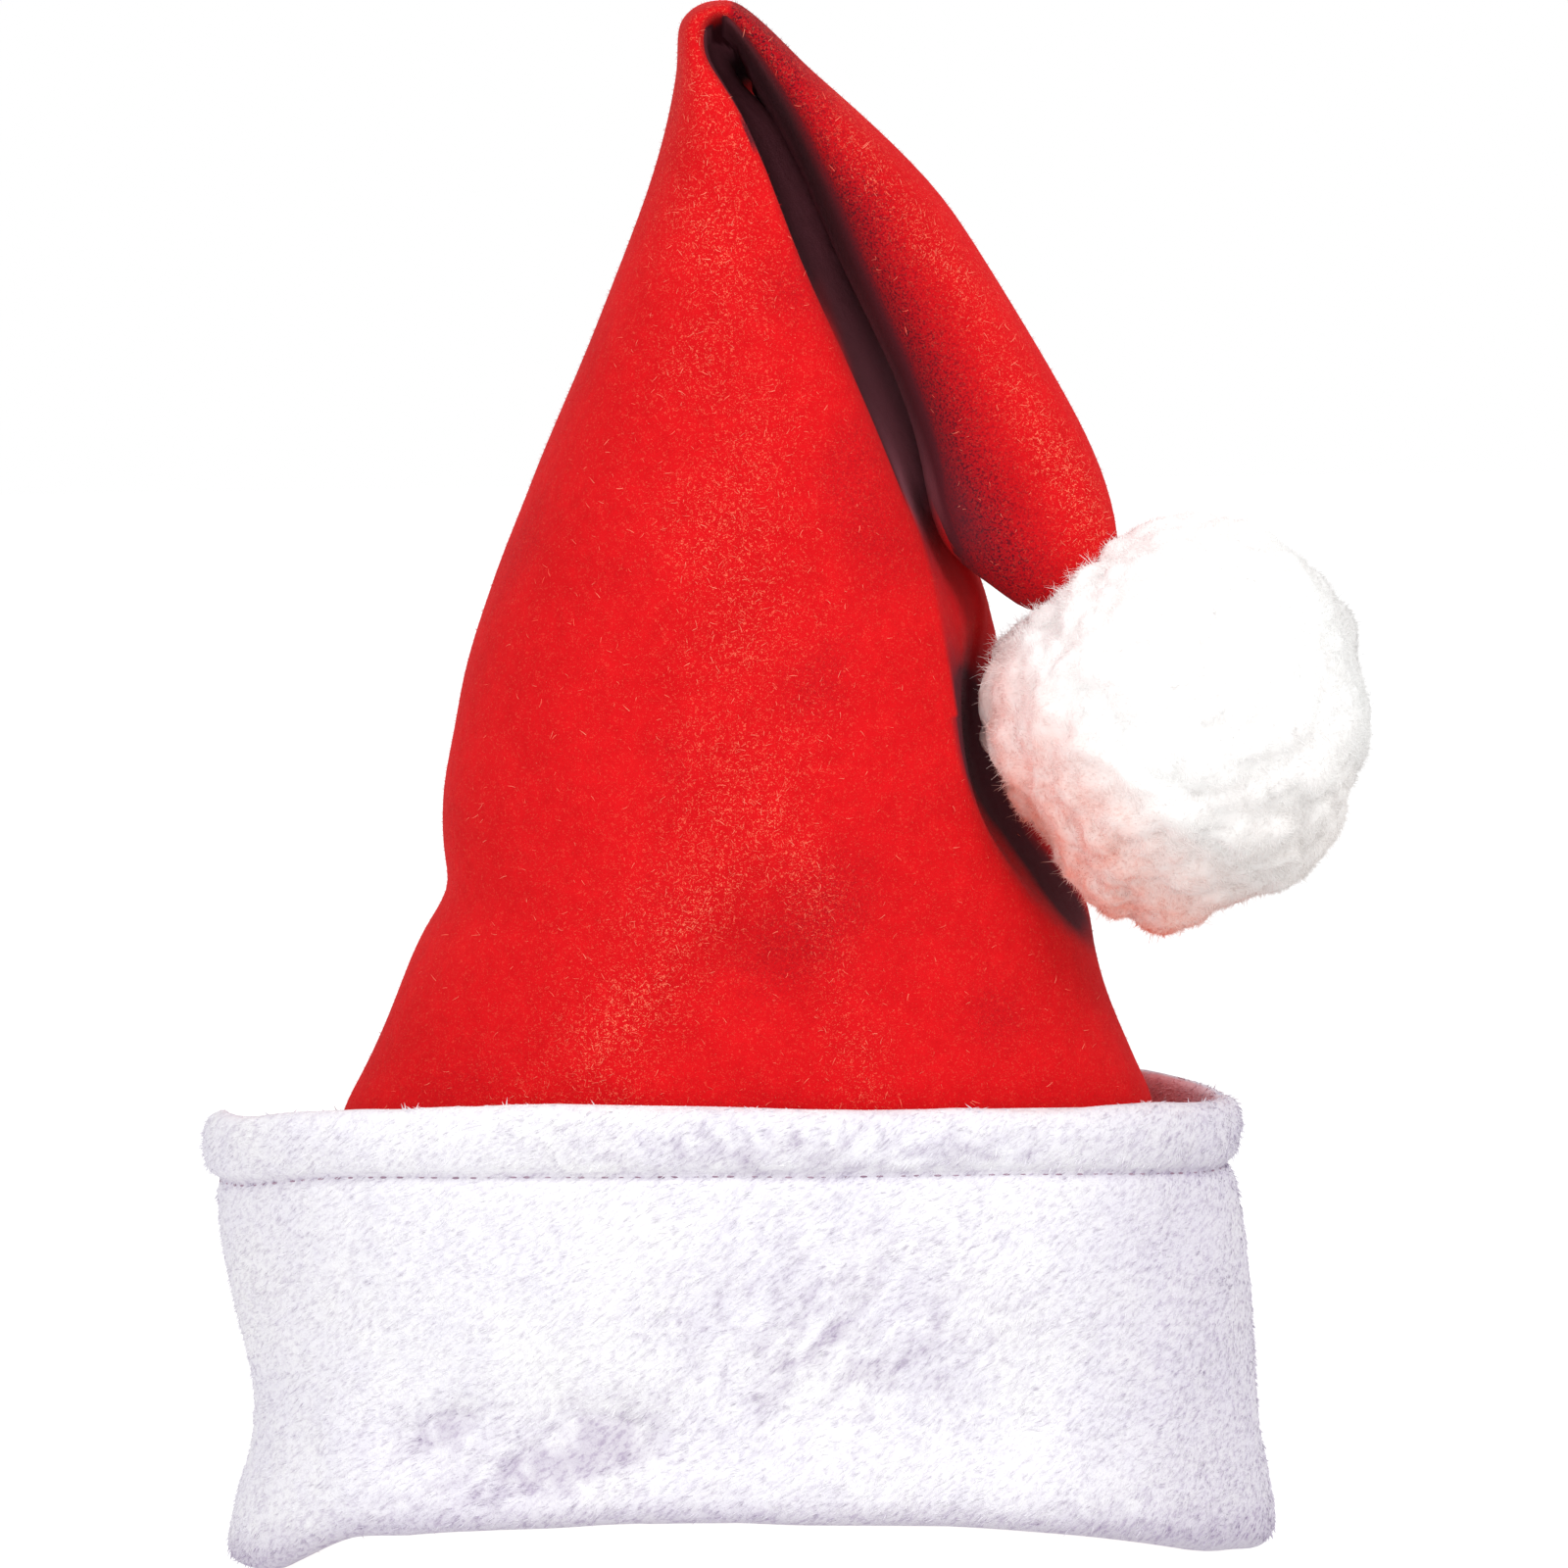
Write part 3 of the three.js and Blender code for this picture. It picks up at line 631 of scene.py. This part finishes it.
print("seam from", seam[:, 2].min().round(4), "to", seam[:, 2].max().round(4))

# %% [markdown]
# ## Relief of the cuff
# The fleece is soft, so its outer face has slow hills, a few sharper dents at the lower left, and a
# groove along the seam. Only points that face outward move. The front of the hem is drawn up by a
# few millimetres, most at the left of its middle, and the front of the lower edge arches up as much.

# %% Relief of the cuff
# Each dent's middle x and z, slope, half width, half height, and depth in mm.
DENTS = (
    (-0.08, 0.035, 0.2, 0.014, 0.0055, 3.0),
    (-0.055, 0.0275, 0.25, 0.021, 0.0058, 4.4),
    (-0.042, 0.036, 0.0, 0.013, 0.007, 2.4),
)
LIFT_X = (-0.1, -0.053, -0.019, 0.017, 0.07)
LIFT_MM = (1.2, 3.1, 2.3, 1.2, 0.9)
CUFF_LOWEST = 0.1 * MM
spots, ways = points_of(cuff), normals_of(cuff)
x, z = spots[:, 0].copy(), spots[:, 2].copy()
side = spots[:, :2] - cuff_mid[:2]
outside = (ways[:, :2] * side).sum(axis=1) > 0
turn = np.arctan2(side[:, 1], side[:, 0]) % (2 * math.pi)
seam_z = np.interp(turn, angles, seam[:, 2], period=2 * math.pi)
front = side[:, 1] < 0
hills = 1.0 * MM * drift(spots, 0.03, 5) + 0.45 * MM * drift(spots, 0.012, 6)
dents = np.zeros(len(x))
for mid_x, mid_z, slope, width, height, depth in DENTS:
    dents += depth * bell(np.hypot((x - mid_x) / width, (z - mid_z - slope * (x - mid_x)) / height))
groove = 1.5 * bell((z - seam_z) / 0.0013)
lift = np.interp(x, LIFT_X, LIFT_MM)
spots[:, 2] += lift * MM * rise(z - seam_z, 0.003, 0.012) * front + arched(spots)
push = hills * rise(z, 0.004, 0.02) - (dents * front + groove) * MM
spots += ways * (push * outside)[:, None]
spots[:, 2] = np.maximum(spots[:, 2], CUFF_LOWEST)
put_points(cuff, spots)

# %% [markdown]
# ## Painted shade and grey mottles of the fleece
# The fleece is painted greyer and more lavender where it is in shade: at its right end and a little
# at its left, in the dents, along the seam, along the middle of the hem and at the lower edge. Mottled
# patches in the middle of the hem and of the cuff are greyer too. One number per point says how much,
# and the strands of the nap inherit it. The inner face of the hem, behind the crown, glows red from
# the felt beside it.

# %% Painted shade and grey mottles of the fleece
EDGE_BINS = 64
over_seam = z - seam_z
bins = (turn / (2 * math.pi) * EDGE_BINS).astype(int) % EDGE_BINS
bin_turns = (np.arange(EDGE_BINS) + 0.5) * 2 * math.pi / EDGE_BINS
edge_z = np.array([z[bins == i].min() for i in range(EDGE_BINS)])
over_edge = z - np.interp(turn, bin_turns, edge_z, period=2 * math.pi)
clouds = 0.5 + 0.6 * drift(spots, 0.009, 8) + 1.2 * drift(spots, 0.003, 9)
# Painted shade at the ends, in the dents, along the seam and at the lower edge, and greyer mottles.
shade_and_mottle = 0.08 + 0.55 * rise(x, 0.045, 0.1) + 0.2 * rise(-x, 0.085, 0.125)
shade_and_mottle += 0.75 * bell((x - 0.005) / 0.055) * bell((over_seam - 0.005) / 0.006) * (over_seam > 0) * clouds
shade_and_mottle += 0.8 * bell(np.hypot((x - 0.012) / 0.034, (z - 0.058) / 0.024)) * clouds
shade_and_mottle += 0.36 * dents * (0.2 + 0.8 * clouds) + 0.5 * bell(over_seam / 0.0008)
shade_and_mottle += 0.85 * (1 - rise(over_edge, 0.0, 0.01)) + 0.3 * bell((over_edge - 0.009) / 0.0025) * clouds
glow = 0.75 * rise(z, 0.08, 0.1) * ~outside * rise(side[:, 1], 0.0, 0.03)
set_trait(cuff, "shade_and_mottle", np.clip(shade_and_mottle, 0, 1))
set_trait(cuff, "tone", np.full(len(shade_and_mottle), 0.5))
set_trait(cuff, "glow", glow)

# %% [markdown]
# ## The stitches
# One stitch is a small bead of thread, stretched along the seam. It is modelled once and copied at
# equal steps along the path, and all the copies are joined.

# %% The stitches
STITCH_STEP = 4.3 * MM
STITCH_SIZE = (0.95 * MM, 0.3 * MM, 0.3 * MM)
STITCH_SINKS = 0.1 * MM
cuff_tree = ray_target(cuff)
closed = np.vstack([seam, seam[:1]])
along = np.concatenate([[0], np.cumsum(np.linalg.norm(np.diff(closed, axis=0), axis=1))])
stitch_count = int(along[-1] / STITCH_STEP)
bpy.ops.mesh.primitive_ico_sphere_add(subdivisions=1, radius=1)
stitch = bpy.context.object
stitch.scale = STITCH_SIZE
bpy.ops.object.transform_apply(location=False, rotation=False, scale=True)
stitches = [stitch]
for i in range(stitch_count):
    if i:
        hold(stitch)
        bpy.ops.object.duplicate(linked=True)
        stitches.append(bpy.context.object)
    reached = (i + 0.5 + 0.16 * math.sin(i * 2.4)) * along[-1] / stitch_count
    place, ahead = (
        Vector([np.interp(s % along[-1], along, closed[:, axis]) for axis in range(3)])
        for s in (reached, reached + 1 * MM)
    )
    out = Vector((place.x - cuff_mid[0], place.y - cuff_mid[1], 0)).normalized()
    on_cuff = cuff_tree.ray_cast(place + out * 0.03, -out, 0.05)[0]
    stitches[-1].location = on_cuff - out * STITCH_SINKS * (1 + math.sin(i * 1.7))
    stitches[-1].rotation_euler = (ahead - place).to_track_quat("X", "Z").to_euler()
hold(stitch)
for other in stitches:
    other.select_set(True)
bpy.ops.object.join()
bpy.ops.object.transform_apply(location=True, rotation=True, scale=True)
stitch.name = "seam_stitches"
bpy.ops.object.shade_smooth()
dress(stitch, thread)
print(stitch_count, "stitches,", triangles(stitch), "triangles")

# %% [markdown]
# ## The pompom's head
# Under the wool is a head that is not quite round: its outline has flats at the lower left and the
# lower right. Smooth noise that is folded up at zero has round hills between soft creases, like tufts
# of wool, so three sizes of it push the points in and out. A ray from the middle finds where the
# tail's end presses into the head.

# %% The pompom's head
HEAD_MM = 44.3
OUTLINE_MID_MM = 44.6
OUTLINE_TURN = (0, 45, 80, 107, 139, 153, 166, 180, 196, 220, 232, 247, 265, 286, 305, 333)
OUTLINE_REACH = (
    41.8, 46.0, 47.2, 43.8, 42.0, 44.0, 46.0, 45.2, 42.0, 39.0, 43.2, 46.0, 46.8, 42.4, 43.4, 41.6
)
# The size, height in mm and seed of each kind of lump.
LUMPS = ((0.36, 6.5, 2), (0.19, 4.5, 3), (0.1, 2.4, 4))
HIGHEST_LUMP = 2.4
BEHIND_FELT = 0.6 * MM
felt_tree = ray_target(crown)
bpy.ops.mesh.primitive_ico_sphere_add(subdivisions=6, radius=1)
head = bpy.context.object
head.name = "pompom_head"
head_ways = points_of(head)
head_turn = np.degrees(np.arctan2(head_ways[:, 2], head_ways[:, 0]))
outline = np.interp(head_turn, OUTLINE_TURN, OUTLINE_REACH, period=360)
edge_on = head_ways[:, 0] ** 2 + head_ways[:, 2] ** 2
lumps = 1.5 * drift(head_ways, 0.5, 1)
for size, height, seed in LUMPS:
    lumps += height * (np.hypot(drift(head_ways, size, seed), 0.06) - 0.24)
lumps = HIGHEST_LUMP * np.tanh(lumps / HIGHEST_LUMP)
spread = MM * (HEAD_MM + (outline - OUTLINE_MID_MM) * edge_on**2 + lumps * (1 - 0.15 * edge_on**2))
for i, way in enumerate(head_ways):
    to_felt = felt_tree.ray_cast(ball_mid, Vector(way), 0.06)[3]
    if to_felt is not None and to_felt < spread[i] + BEHIND_FELT:
        spread[i] = to_felt - BEHIND_FELT
put_points(head, np.array(ball_mid) + head_ways * spread[:, None])
bpy.ops.object.shade_smooth()
print("head", triangles(head), "triangles, radius", spread.min().round(4), spread.max().round(4))

# %% [markdown]
# ## What the felt faces
# A ray leaves every point of the felt along its normal. Where it escapes, the felt is in the open.
# Where it soon meets felt again, the point lies deep in the fold between the crown and its tail, and
# it gets painted shade; so does the felt that hugs the pompom. The slot's roof near the peak faces
# down and sees no felt, so its painted shade is given by its place. The back of the hat stays plain.

# %% What the felt faces
FELT_VIEW = 0.4
OFF_SURFACE = 0.3 * MM


def facing(obj, tree, far):
    """How far each point of obj is from what it faces, or far."""
    out = []
    for place, way in zip(points_of(obj), normals_of(obj)):
        hit = tree.ray_cast(Vector(place + way * OFF_SURFACE), Vector(way), far)
        out.append(far if hit[3] is None else hit[3])
    return np.array(out)


def uncovered(obj, tree, room):
    """Whether each point of obj has that much room in front of it."""
    return facing(obj, tree, room) > room - 0.1 * MM


spots = points_of(crown)
across, inward, high = spots.T
head_tree = ray_target(head)
room = facing(crown, felt_tree, FELT_VIEW)
in_open = room > FELT_VIEW - 10 * MM
tail_edge = past_slot(spots)
past = past_ridge(spots)
at_back = rise(inward, 0.0, 0.014) * rise(high, 0.225, 0.24)

# Painted shade in the fold, on the tail beside the slot, behind the pompom and beside the ridge,
# with less on a small lit flap between the ridge and the tail.
felt_shade = 1.3 * bell(room / (12 * MM))
# The painted shade's tint where it is strongest, in the fold's inmost part.
inmost_shade = rise(felt_shade, 0.6, 1.15) * rise(high, 0.232, 0.25)
on_crown = rise(felt_shade, 0.25, 0.6) * rise(high, 0.238, 0.25)
on_crown *= 1 - 0.8 * bell(from_line(across, high, (0.0108, 0.2925), (0.0154, 0.272)) / 0.0016)
tail_shade = felt_shade + 0.85 * bell((tail_edge - 3 * MM) / (7 * MM)) * (1 - rise(high, 0.325, 0.342))
felt_shade = np.where(tail_edge < 0, on_crown, tail_shade * rise(high, 0.222, 0.24))
felt_shade += 0.8 * bell(facing(crown, head_tree, 0.1) / (8 * MM)) * (across < 0.08) * (1 - rise(high, 0.2, 0.215))
strip_width = np.interp(high, (0.19, 0.206, 0.23), (4 * MM, 1 * MM, 0.5 * MM))
strip_start = np.where(high < 0.195, -2.5 * MM, -0.4 * MM)
strip = rise(past, strip_start, 0.8 * MM) * bell(np.maximum(past - strip_width, 0) / (3.5 * MM))
strip *= 1 - 0.85 * bell((high - 0.221) / 0.016)
strip *= 1 - rise(inward, 0.003, 0.016)
felt_shade += 1.1 * strip * rise(high, 0.132, 0.15) * (1 - rise(high, 0.245, 0.252))
near_top = rise(high, 0.3, 0.325) * (1 - rise(inward, 0.008, 0.02)) * (1 - in_open)
felt_shade = np.clip(felt_shade, 0, 1) * (1 - at_back * (1 - near_top))
slot_roof = rise(-normals_of(crown)[:, 2], 0.2, 0.4) * rise(inward, -0.02, -0.014)
slot_roof *= rise(high, 0.325, 0.334) * bell(np.maximum(np.abs(tail_edge) - 9 * MM, 0) / (2 * MM))
slot_roof *= 1 - rise(inward, 0.022, 0.03)
set_trait(crown, "felt_shade", np.maximum(felt_shade, slot_roof))
set_trait(crown, "inmost_shade", np.clip(inmost_shade, 0, 1) * (1 - at_back))

# Painted shade on the tail to the right of that and a little in the front's hollow, and darker faint
# patches at random.
shade_and_patches = 1.0 * bell(np.maximum(tail_edge - 7 * MM, 0) / (13 * MM)) * (tail_edge > 0) * rise(high, 0.2, 0.23)
shade_and_patches *= 1 - at_back
shade_and_patches += 0.1 * bell(np.hypot((across + 0.001) / 0.024, (high - 0.14) / 0.013)) * (inward < 0)
shade_and_patches += 0.2 * rise(drift(spots, 0.03, 9), 0.1, 0.7)
set_trait(crown, "shade_and_patches", np.clip(shade_and_patches, 0, 1))

# The band that catches the light runs down the crown, down the tail and along the two soft ridges.
crown_band_x = np.interp(high, (0.11, 0.17, 0.2, 0.26, 0.35), (-0.047, -0.012, -0.007, -0.012, -0.014))
tail_band_x = np.interp(high, (0.24, 0.256, 0.283, 0.328), (0.07, 0.061, 0.048, 0.016))
highlight_band = 0.65 * bell((across - crown_band_x) / 0.015)
highlight_band += 0.9 * bell((across - tail_band_x) / 0.006) * (high > 0.23)
highlight_band += 0.6 * bell(from_line(across, high, *RIGHT_FOLD) / 0.005)
highlight_band += 0.5 * bell(from_line(across, high, *LEFT_FOLD) / 0.004)
highlight_band *= 0.55 + 0.6 * drift(spots, 0.02, 12)
# The pale flecks are painted highlights; a faint sprinkling of them lies everywhere in the open.
set_trait(crown, "highlight_band", np.clip(highlight_band + 0.14, 0, 1) * in_open)
print("points in the open", int(in_open.sum()), "of", len(in_open))

# %% [markdown]
# ## One strand of wool
# A strand is a thin tapering tube with three sides, bent to one side. It is modelled once, by pushing
# a small triangle up step by step, and everything woolly on the hat is made of copies of it. A spike
# is simpler still, for pile too short to bend.

# %% One strand of wool
TAPER = 0.85
TIP = 0.35


def strand(name, length, width, bend, steps):
    bpy.ops.mesh.primitive_circle_add(vertices=3, radius=width / 2, fill_type="NGON")
    piece = bpy.context.object
    piece.name = name
    bpy.ops.object.mode_set(mode="EDIT")
    bpy.ops.mesh.select_all(action="SELECT")
    for step in range(steps):
        share = (step + 1) / steps
        lean = bend * length * (share**2 - (share - 1 / steps) ** 2)
        bpy.ops.mesh.extrude_region_move(TRANSFORM_OT_translate={"value": (lean, 0, length / steps)})
        narrow = TAPER if step < steps - 1 else TIP
        bpy.ops.transform.resize(value=(narrow, narrow, narrow))
    bpy.ops.mesh.select_all(action="SELECT")
    bpy.ops.mesh.normals_make_consistent(inside=False)
    bpy.ops.object.mode_set(mode="OBJECT")
    piece.hide_render = True
    print(name, triangles(piece), "triangles")
    return piece


def spike(name, length, width):
    bpy.ops.mesh.primitive_cone_add(
        vertices=3, radius1=width / 2, radius2=0, depth=length, location=(0, 0, length / 2)
    )
    piece = bpy.context.object
    piece.name = name
    bpy.ops.object.transform_apply(location=True, rotation=False, scale=False)
    piece.hide_render = True
    return piece


wool_strand = strand("wool_strand", 2.6 * MM, 0.14 * MM, 1.3, 3)
wool_spike = spike("wool_spike", 1.6 * MM, 0.17 * MM)
stray_strand = strand("stray_strand", 1.9 * MM, 0.2 * MM, 0.3, 2)
nap_spike = spike("nap_spike", 2.1 * MM, 0.42 * MM)
felt_spike = spike("felt_spike", 0.8 * MM, 0.12 * MM)

# %% [markdown]
# ## Growing strands
# Geometry Nodes scatters points over a surface, stands a strand on each along the surface's own
# normal, and leans it by smooth noise so that neighbours lie the same way, as in a real tuft. The
# strands are realized, so that the piece is ordinary mesh at the end.

# %% Growing strands
STRAND_SIZES = (0.5, 1.0)
NOISE_TO_LEAN = 4


def random_node(tree, low, high, seed):
    """A different number between low and high for each strand."""
    inputs = {2: low, 3: high, "Seed": seed}
    return node(tree, "FunctionNodeRandomValue", inputs, data_type="FLOAT").outputs[1]


def growth(name, model, density, seed, leans, sizes, comb):
    """
    A node group that turns a surface into its strands. leans pairs a clump's size with its lean, and
    comb leans every strand around the hat and down.
    """
    group = bpy.data.node_groups.new(name, "GeometryNodeTree")
    group.interface.new_socket("Geometry", in_out="INPUT", socket_type="NodeSocketGeometry")
    group.interface.new_socket("Geometry", in_out="OUTPUT", socket_type="NodeSocketGeometry")
    surface = node(group, "NodeGroupInput").outputs[0]
    thick = node(group, "GeometryNodeInputNamedAttribute", {"Name": "thick"}, data_type="FLOAT")
    dense = math_node(group, "MULTIPLY", thick.outputs["Attribute"], density)
    points = node(
        group, "GeometryNodeDistributePointsOnFaces", {"Mesh": surface, "Density": dense, "Seed": seed}
    )
    where = node(group, "GeometryNodeInputPosition").outputs[0]
    normal = points.outputs["Normal"]
    around = vector_node(group, "CROSS_PRODUCT", normal, (0, 0, comb[0]))
    way = vector_node(group, "ADD", normal, vector_node(group, "ADD", around, (0, 0, -comb[1])))
    for clump, lean in leans:
        wave = noise_node(group, where, 1 / clump, 1.0).outputs["Color"]
        centred = vector_node(group, "SUBTRACT", wave, (0.5, 0.5, 0.5))
        inputs = {0: centred, "Scale": lean * NOISE_TO_LEAN}
        scaled = node(group, "ShaderNodeVectorMath", inputs, operation="SCALE")
        way = vector_node(group, "ADD", way, scaled.outputs[0])
    aim = node(group, "FunctionNodeAlignRotationToVector", {"Vector": way}, axis="Z")
    turn = node(group, "ShaderNodeCombineXYZ", {"Z": random_node(group, 0.0, 2 * math.pi, seed + 1)})
    twist = node(
        group, "FunctionNodeRotateRotation",
        {0: aim.outputs[0], 1: turn.outputs[0]}, rotation_space="LOCAL",
    )
    copies = node(
        group, "GeometryNodeInstanceOnPoints",
        {
            "Points": points.outputs["Points"],
            "Instance": node(group, "GeometryNodeObjectInfo", {"Object": model}).outputs["Geometry"],
            "Rotation": twist.outputs[0],
            "Scale": random_node(group, *sizes, seed + 2),
        },
    )
    toned = node(
        group, "GeometryNodeStoreNamedAttribute",
        {"Geometry": copies.outputs[0], "Name": "tone", "Value": random_node(group, 0.0, 1.0, seed + 3)},
        data_type="FLOAT", domain="INSTANCE",
    )
    real = node(group, "GeometryNodeRealizeInstances", {0: toned.outputs[0]})
    node(group, "NodeGroupOutput", {0: real.outputs[0]})
    return group


def grow(base, name, material, model, count, seed, leans, sizes=STRAND_SIZES, comb=(0, 0)):
    """A piece made of about count strands that grow on base, most where its trait thick is high."""
    thick = np.empty(len(base.data.vertices), dtype=np.float32)
    base.data.attributes["thick"].data.foreach_get("value", thick)
    area = sum(face.area * np.mean([thick[i] for i in face.vertices]) for face in base.data.polygons)
    hold(base)
    bpy.ops.object.duplicate()
    piece = bpy.context.object
    piece.name = name
    piece.data.name = name
    strands = piece.modifiers.new("strands", "NODES")
    strands.node_group = growth(name + "_growth", model, count / area, seed, leans, sizes, comb)
    bake(piece)
    dress(piece, material)
    print(name, triangles(piece), "triangles")
    return piece


# %% [markdown]
# ## The pompom's wool
# Where the tail's felt covers the head no strand may grow, so each point of the head looks outward
# along its own direction for felt. The wool is in layers so that each piece stays light, and the long
# strands grow most around the tail's end.

# %% The pompom's wool
NAP_LEANS = ((9 * MM, 1.3), (2.5 * MM, 1.2))
WOOL_LEANS = ((6 * MM, 1.6), (2 * MM, 1.2))
TO_TAIL = np.array((-0.75, 0, 0.66))
head_shows = uncovered(head, felt_tree, 8 * MM)
set_trait(head, "thick", head_shows)
dress(head, wool)
ball_pieces = [head]
for layer in (1, 2):
    name = f"pompom_nap_{layer}"
    ball_pieces.append(grow(head, name, wool, wool_spike, 40000, 10 + layer, NAP_LEANS))
set_trait(head, "thick", head_shows * (1 + 4 * rise(head_ways @ TO_TAIL, 0.75, 0.92)))
ball_pieces.append(grow(head, "pompom_wool", wool, wool_strand, 6500, 13, WOOL_LEANS))

# %% [markdown]
# ## The felt's fuzz
# Felt has no pile, only the ends of its fibres. Tiny spikes leaning every way soften its edge, and a
# few longer pale ones lie along the band that catches the light.

# %% The felt's fuzz
FUZZ_LEANS = ((2 * MM, 0.9), (9 * MM, 0.3))
FIBRE_LEANS = ((3 * MM, 3.0), (1 * MM, 1.5))
fades_in = np.clip((high - 0.09) / 0.01, 0, 1)
set_trait(crown, "thick", in_open * fades_in)
fuzz = grow(crown, "crown_fuzz", felt, felt_spike, 18000, 31, FUZZ_LEANS)
faces_front = rise(-normals_of(crown)[:, 1], 0.35, 0.7)
set_trait(crown, "thick", in_open * fades_in * np.clip(highlight_band + 0.06, 0, 1) * faces_front)
fibres = grow(crown, "crown_fibres", stray, stray_strand, 2200, 41, FIBRE_LEANS, (0.35, 1.0))

# %% [markdown]
# ## The cuff's nap
# Fleece is a short dense pile, combed around the cuff and down. It grows on all of the cuff that shows,
# and none grows on its underside or where the cuff faces the crown closely.

# %% The cuff's nap
CUFF_LEANS = ((2.5 * MM, 1.7), (14 * MM, 1.2))
CUFF_COMB = (3.2, 1.7)
NAP_LOWEST = 0.2 * MM
INNER_SHARE = 0.12
cuff_spots, cuff_ways = points_of(cuff), normals_of(cuff)
shows = uncovered(cuff, felt_tree, 4 * MM) * (cuff_spots[:, 2] > 0.6 * MM)
outward = cuff_ways[:, :2] * (cuff_spots[:, :2] - cuff_mid[:2])
inner = (outward.sum(axis=1) < 0) * (cuff_spots[:, 2] < 0.09)
under = rise(-cuff_ways[:, 2], 0.3, 0.7)
set_trait(cuff, "thick", shows * np.where(inner, INNER_SHARE, 1.0) * (1 - under))
nap = grow(cuff, "cuff_nap", fleece, nap_spike, 46000, 51, CUFF_LEANS, comb=CUFF_COMB)
nap_points = points_of(nap)
nap_points[:, 2] = np.maximum(nap_points[:, 2], NAP_LOWEST)
put_points(nap, nap_points)

# %% [markdown]
# ## Handing over
# Each piece rides on the hat's one body and replaces the node it stands for.

# %% Handing over
for pieces, place, slot in (
    ((crown, fuzz, fibres), "crown", "red_felt"),
    ((cuff, nap, stitch), "cuff", "white_fleece"),
    (ball_pieces, "pompom", "white_wool"),
):
    for piece in pieces:
        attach(piece, "root")
        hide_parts(place)
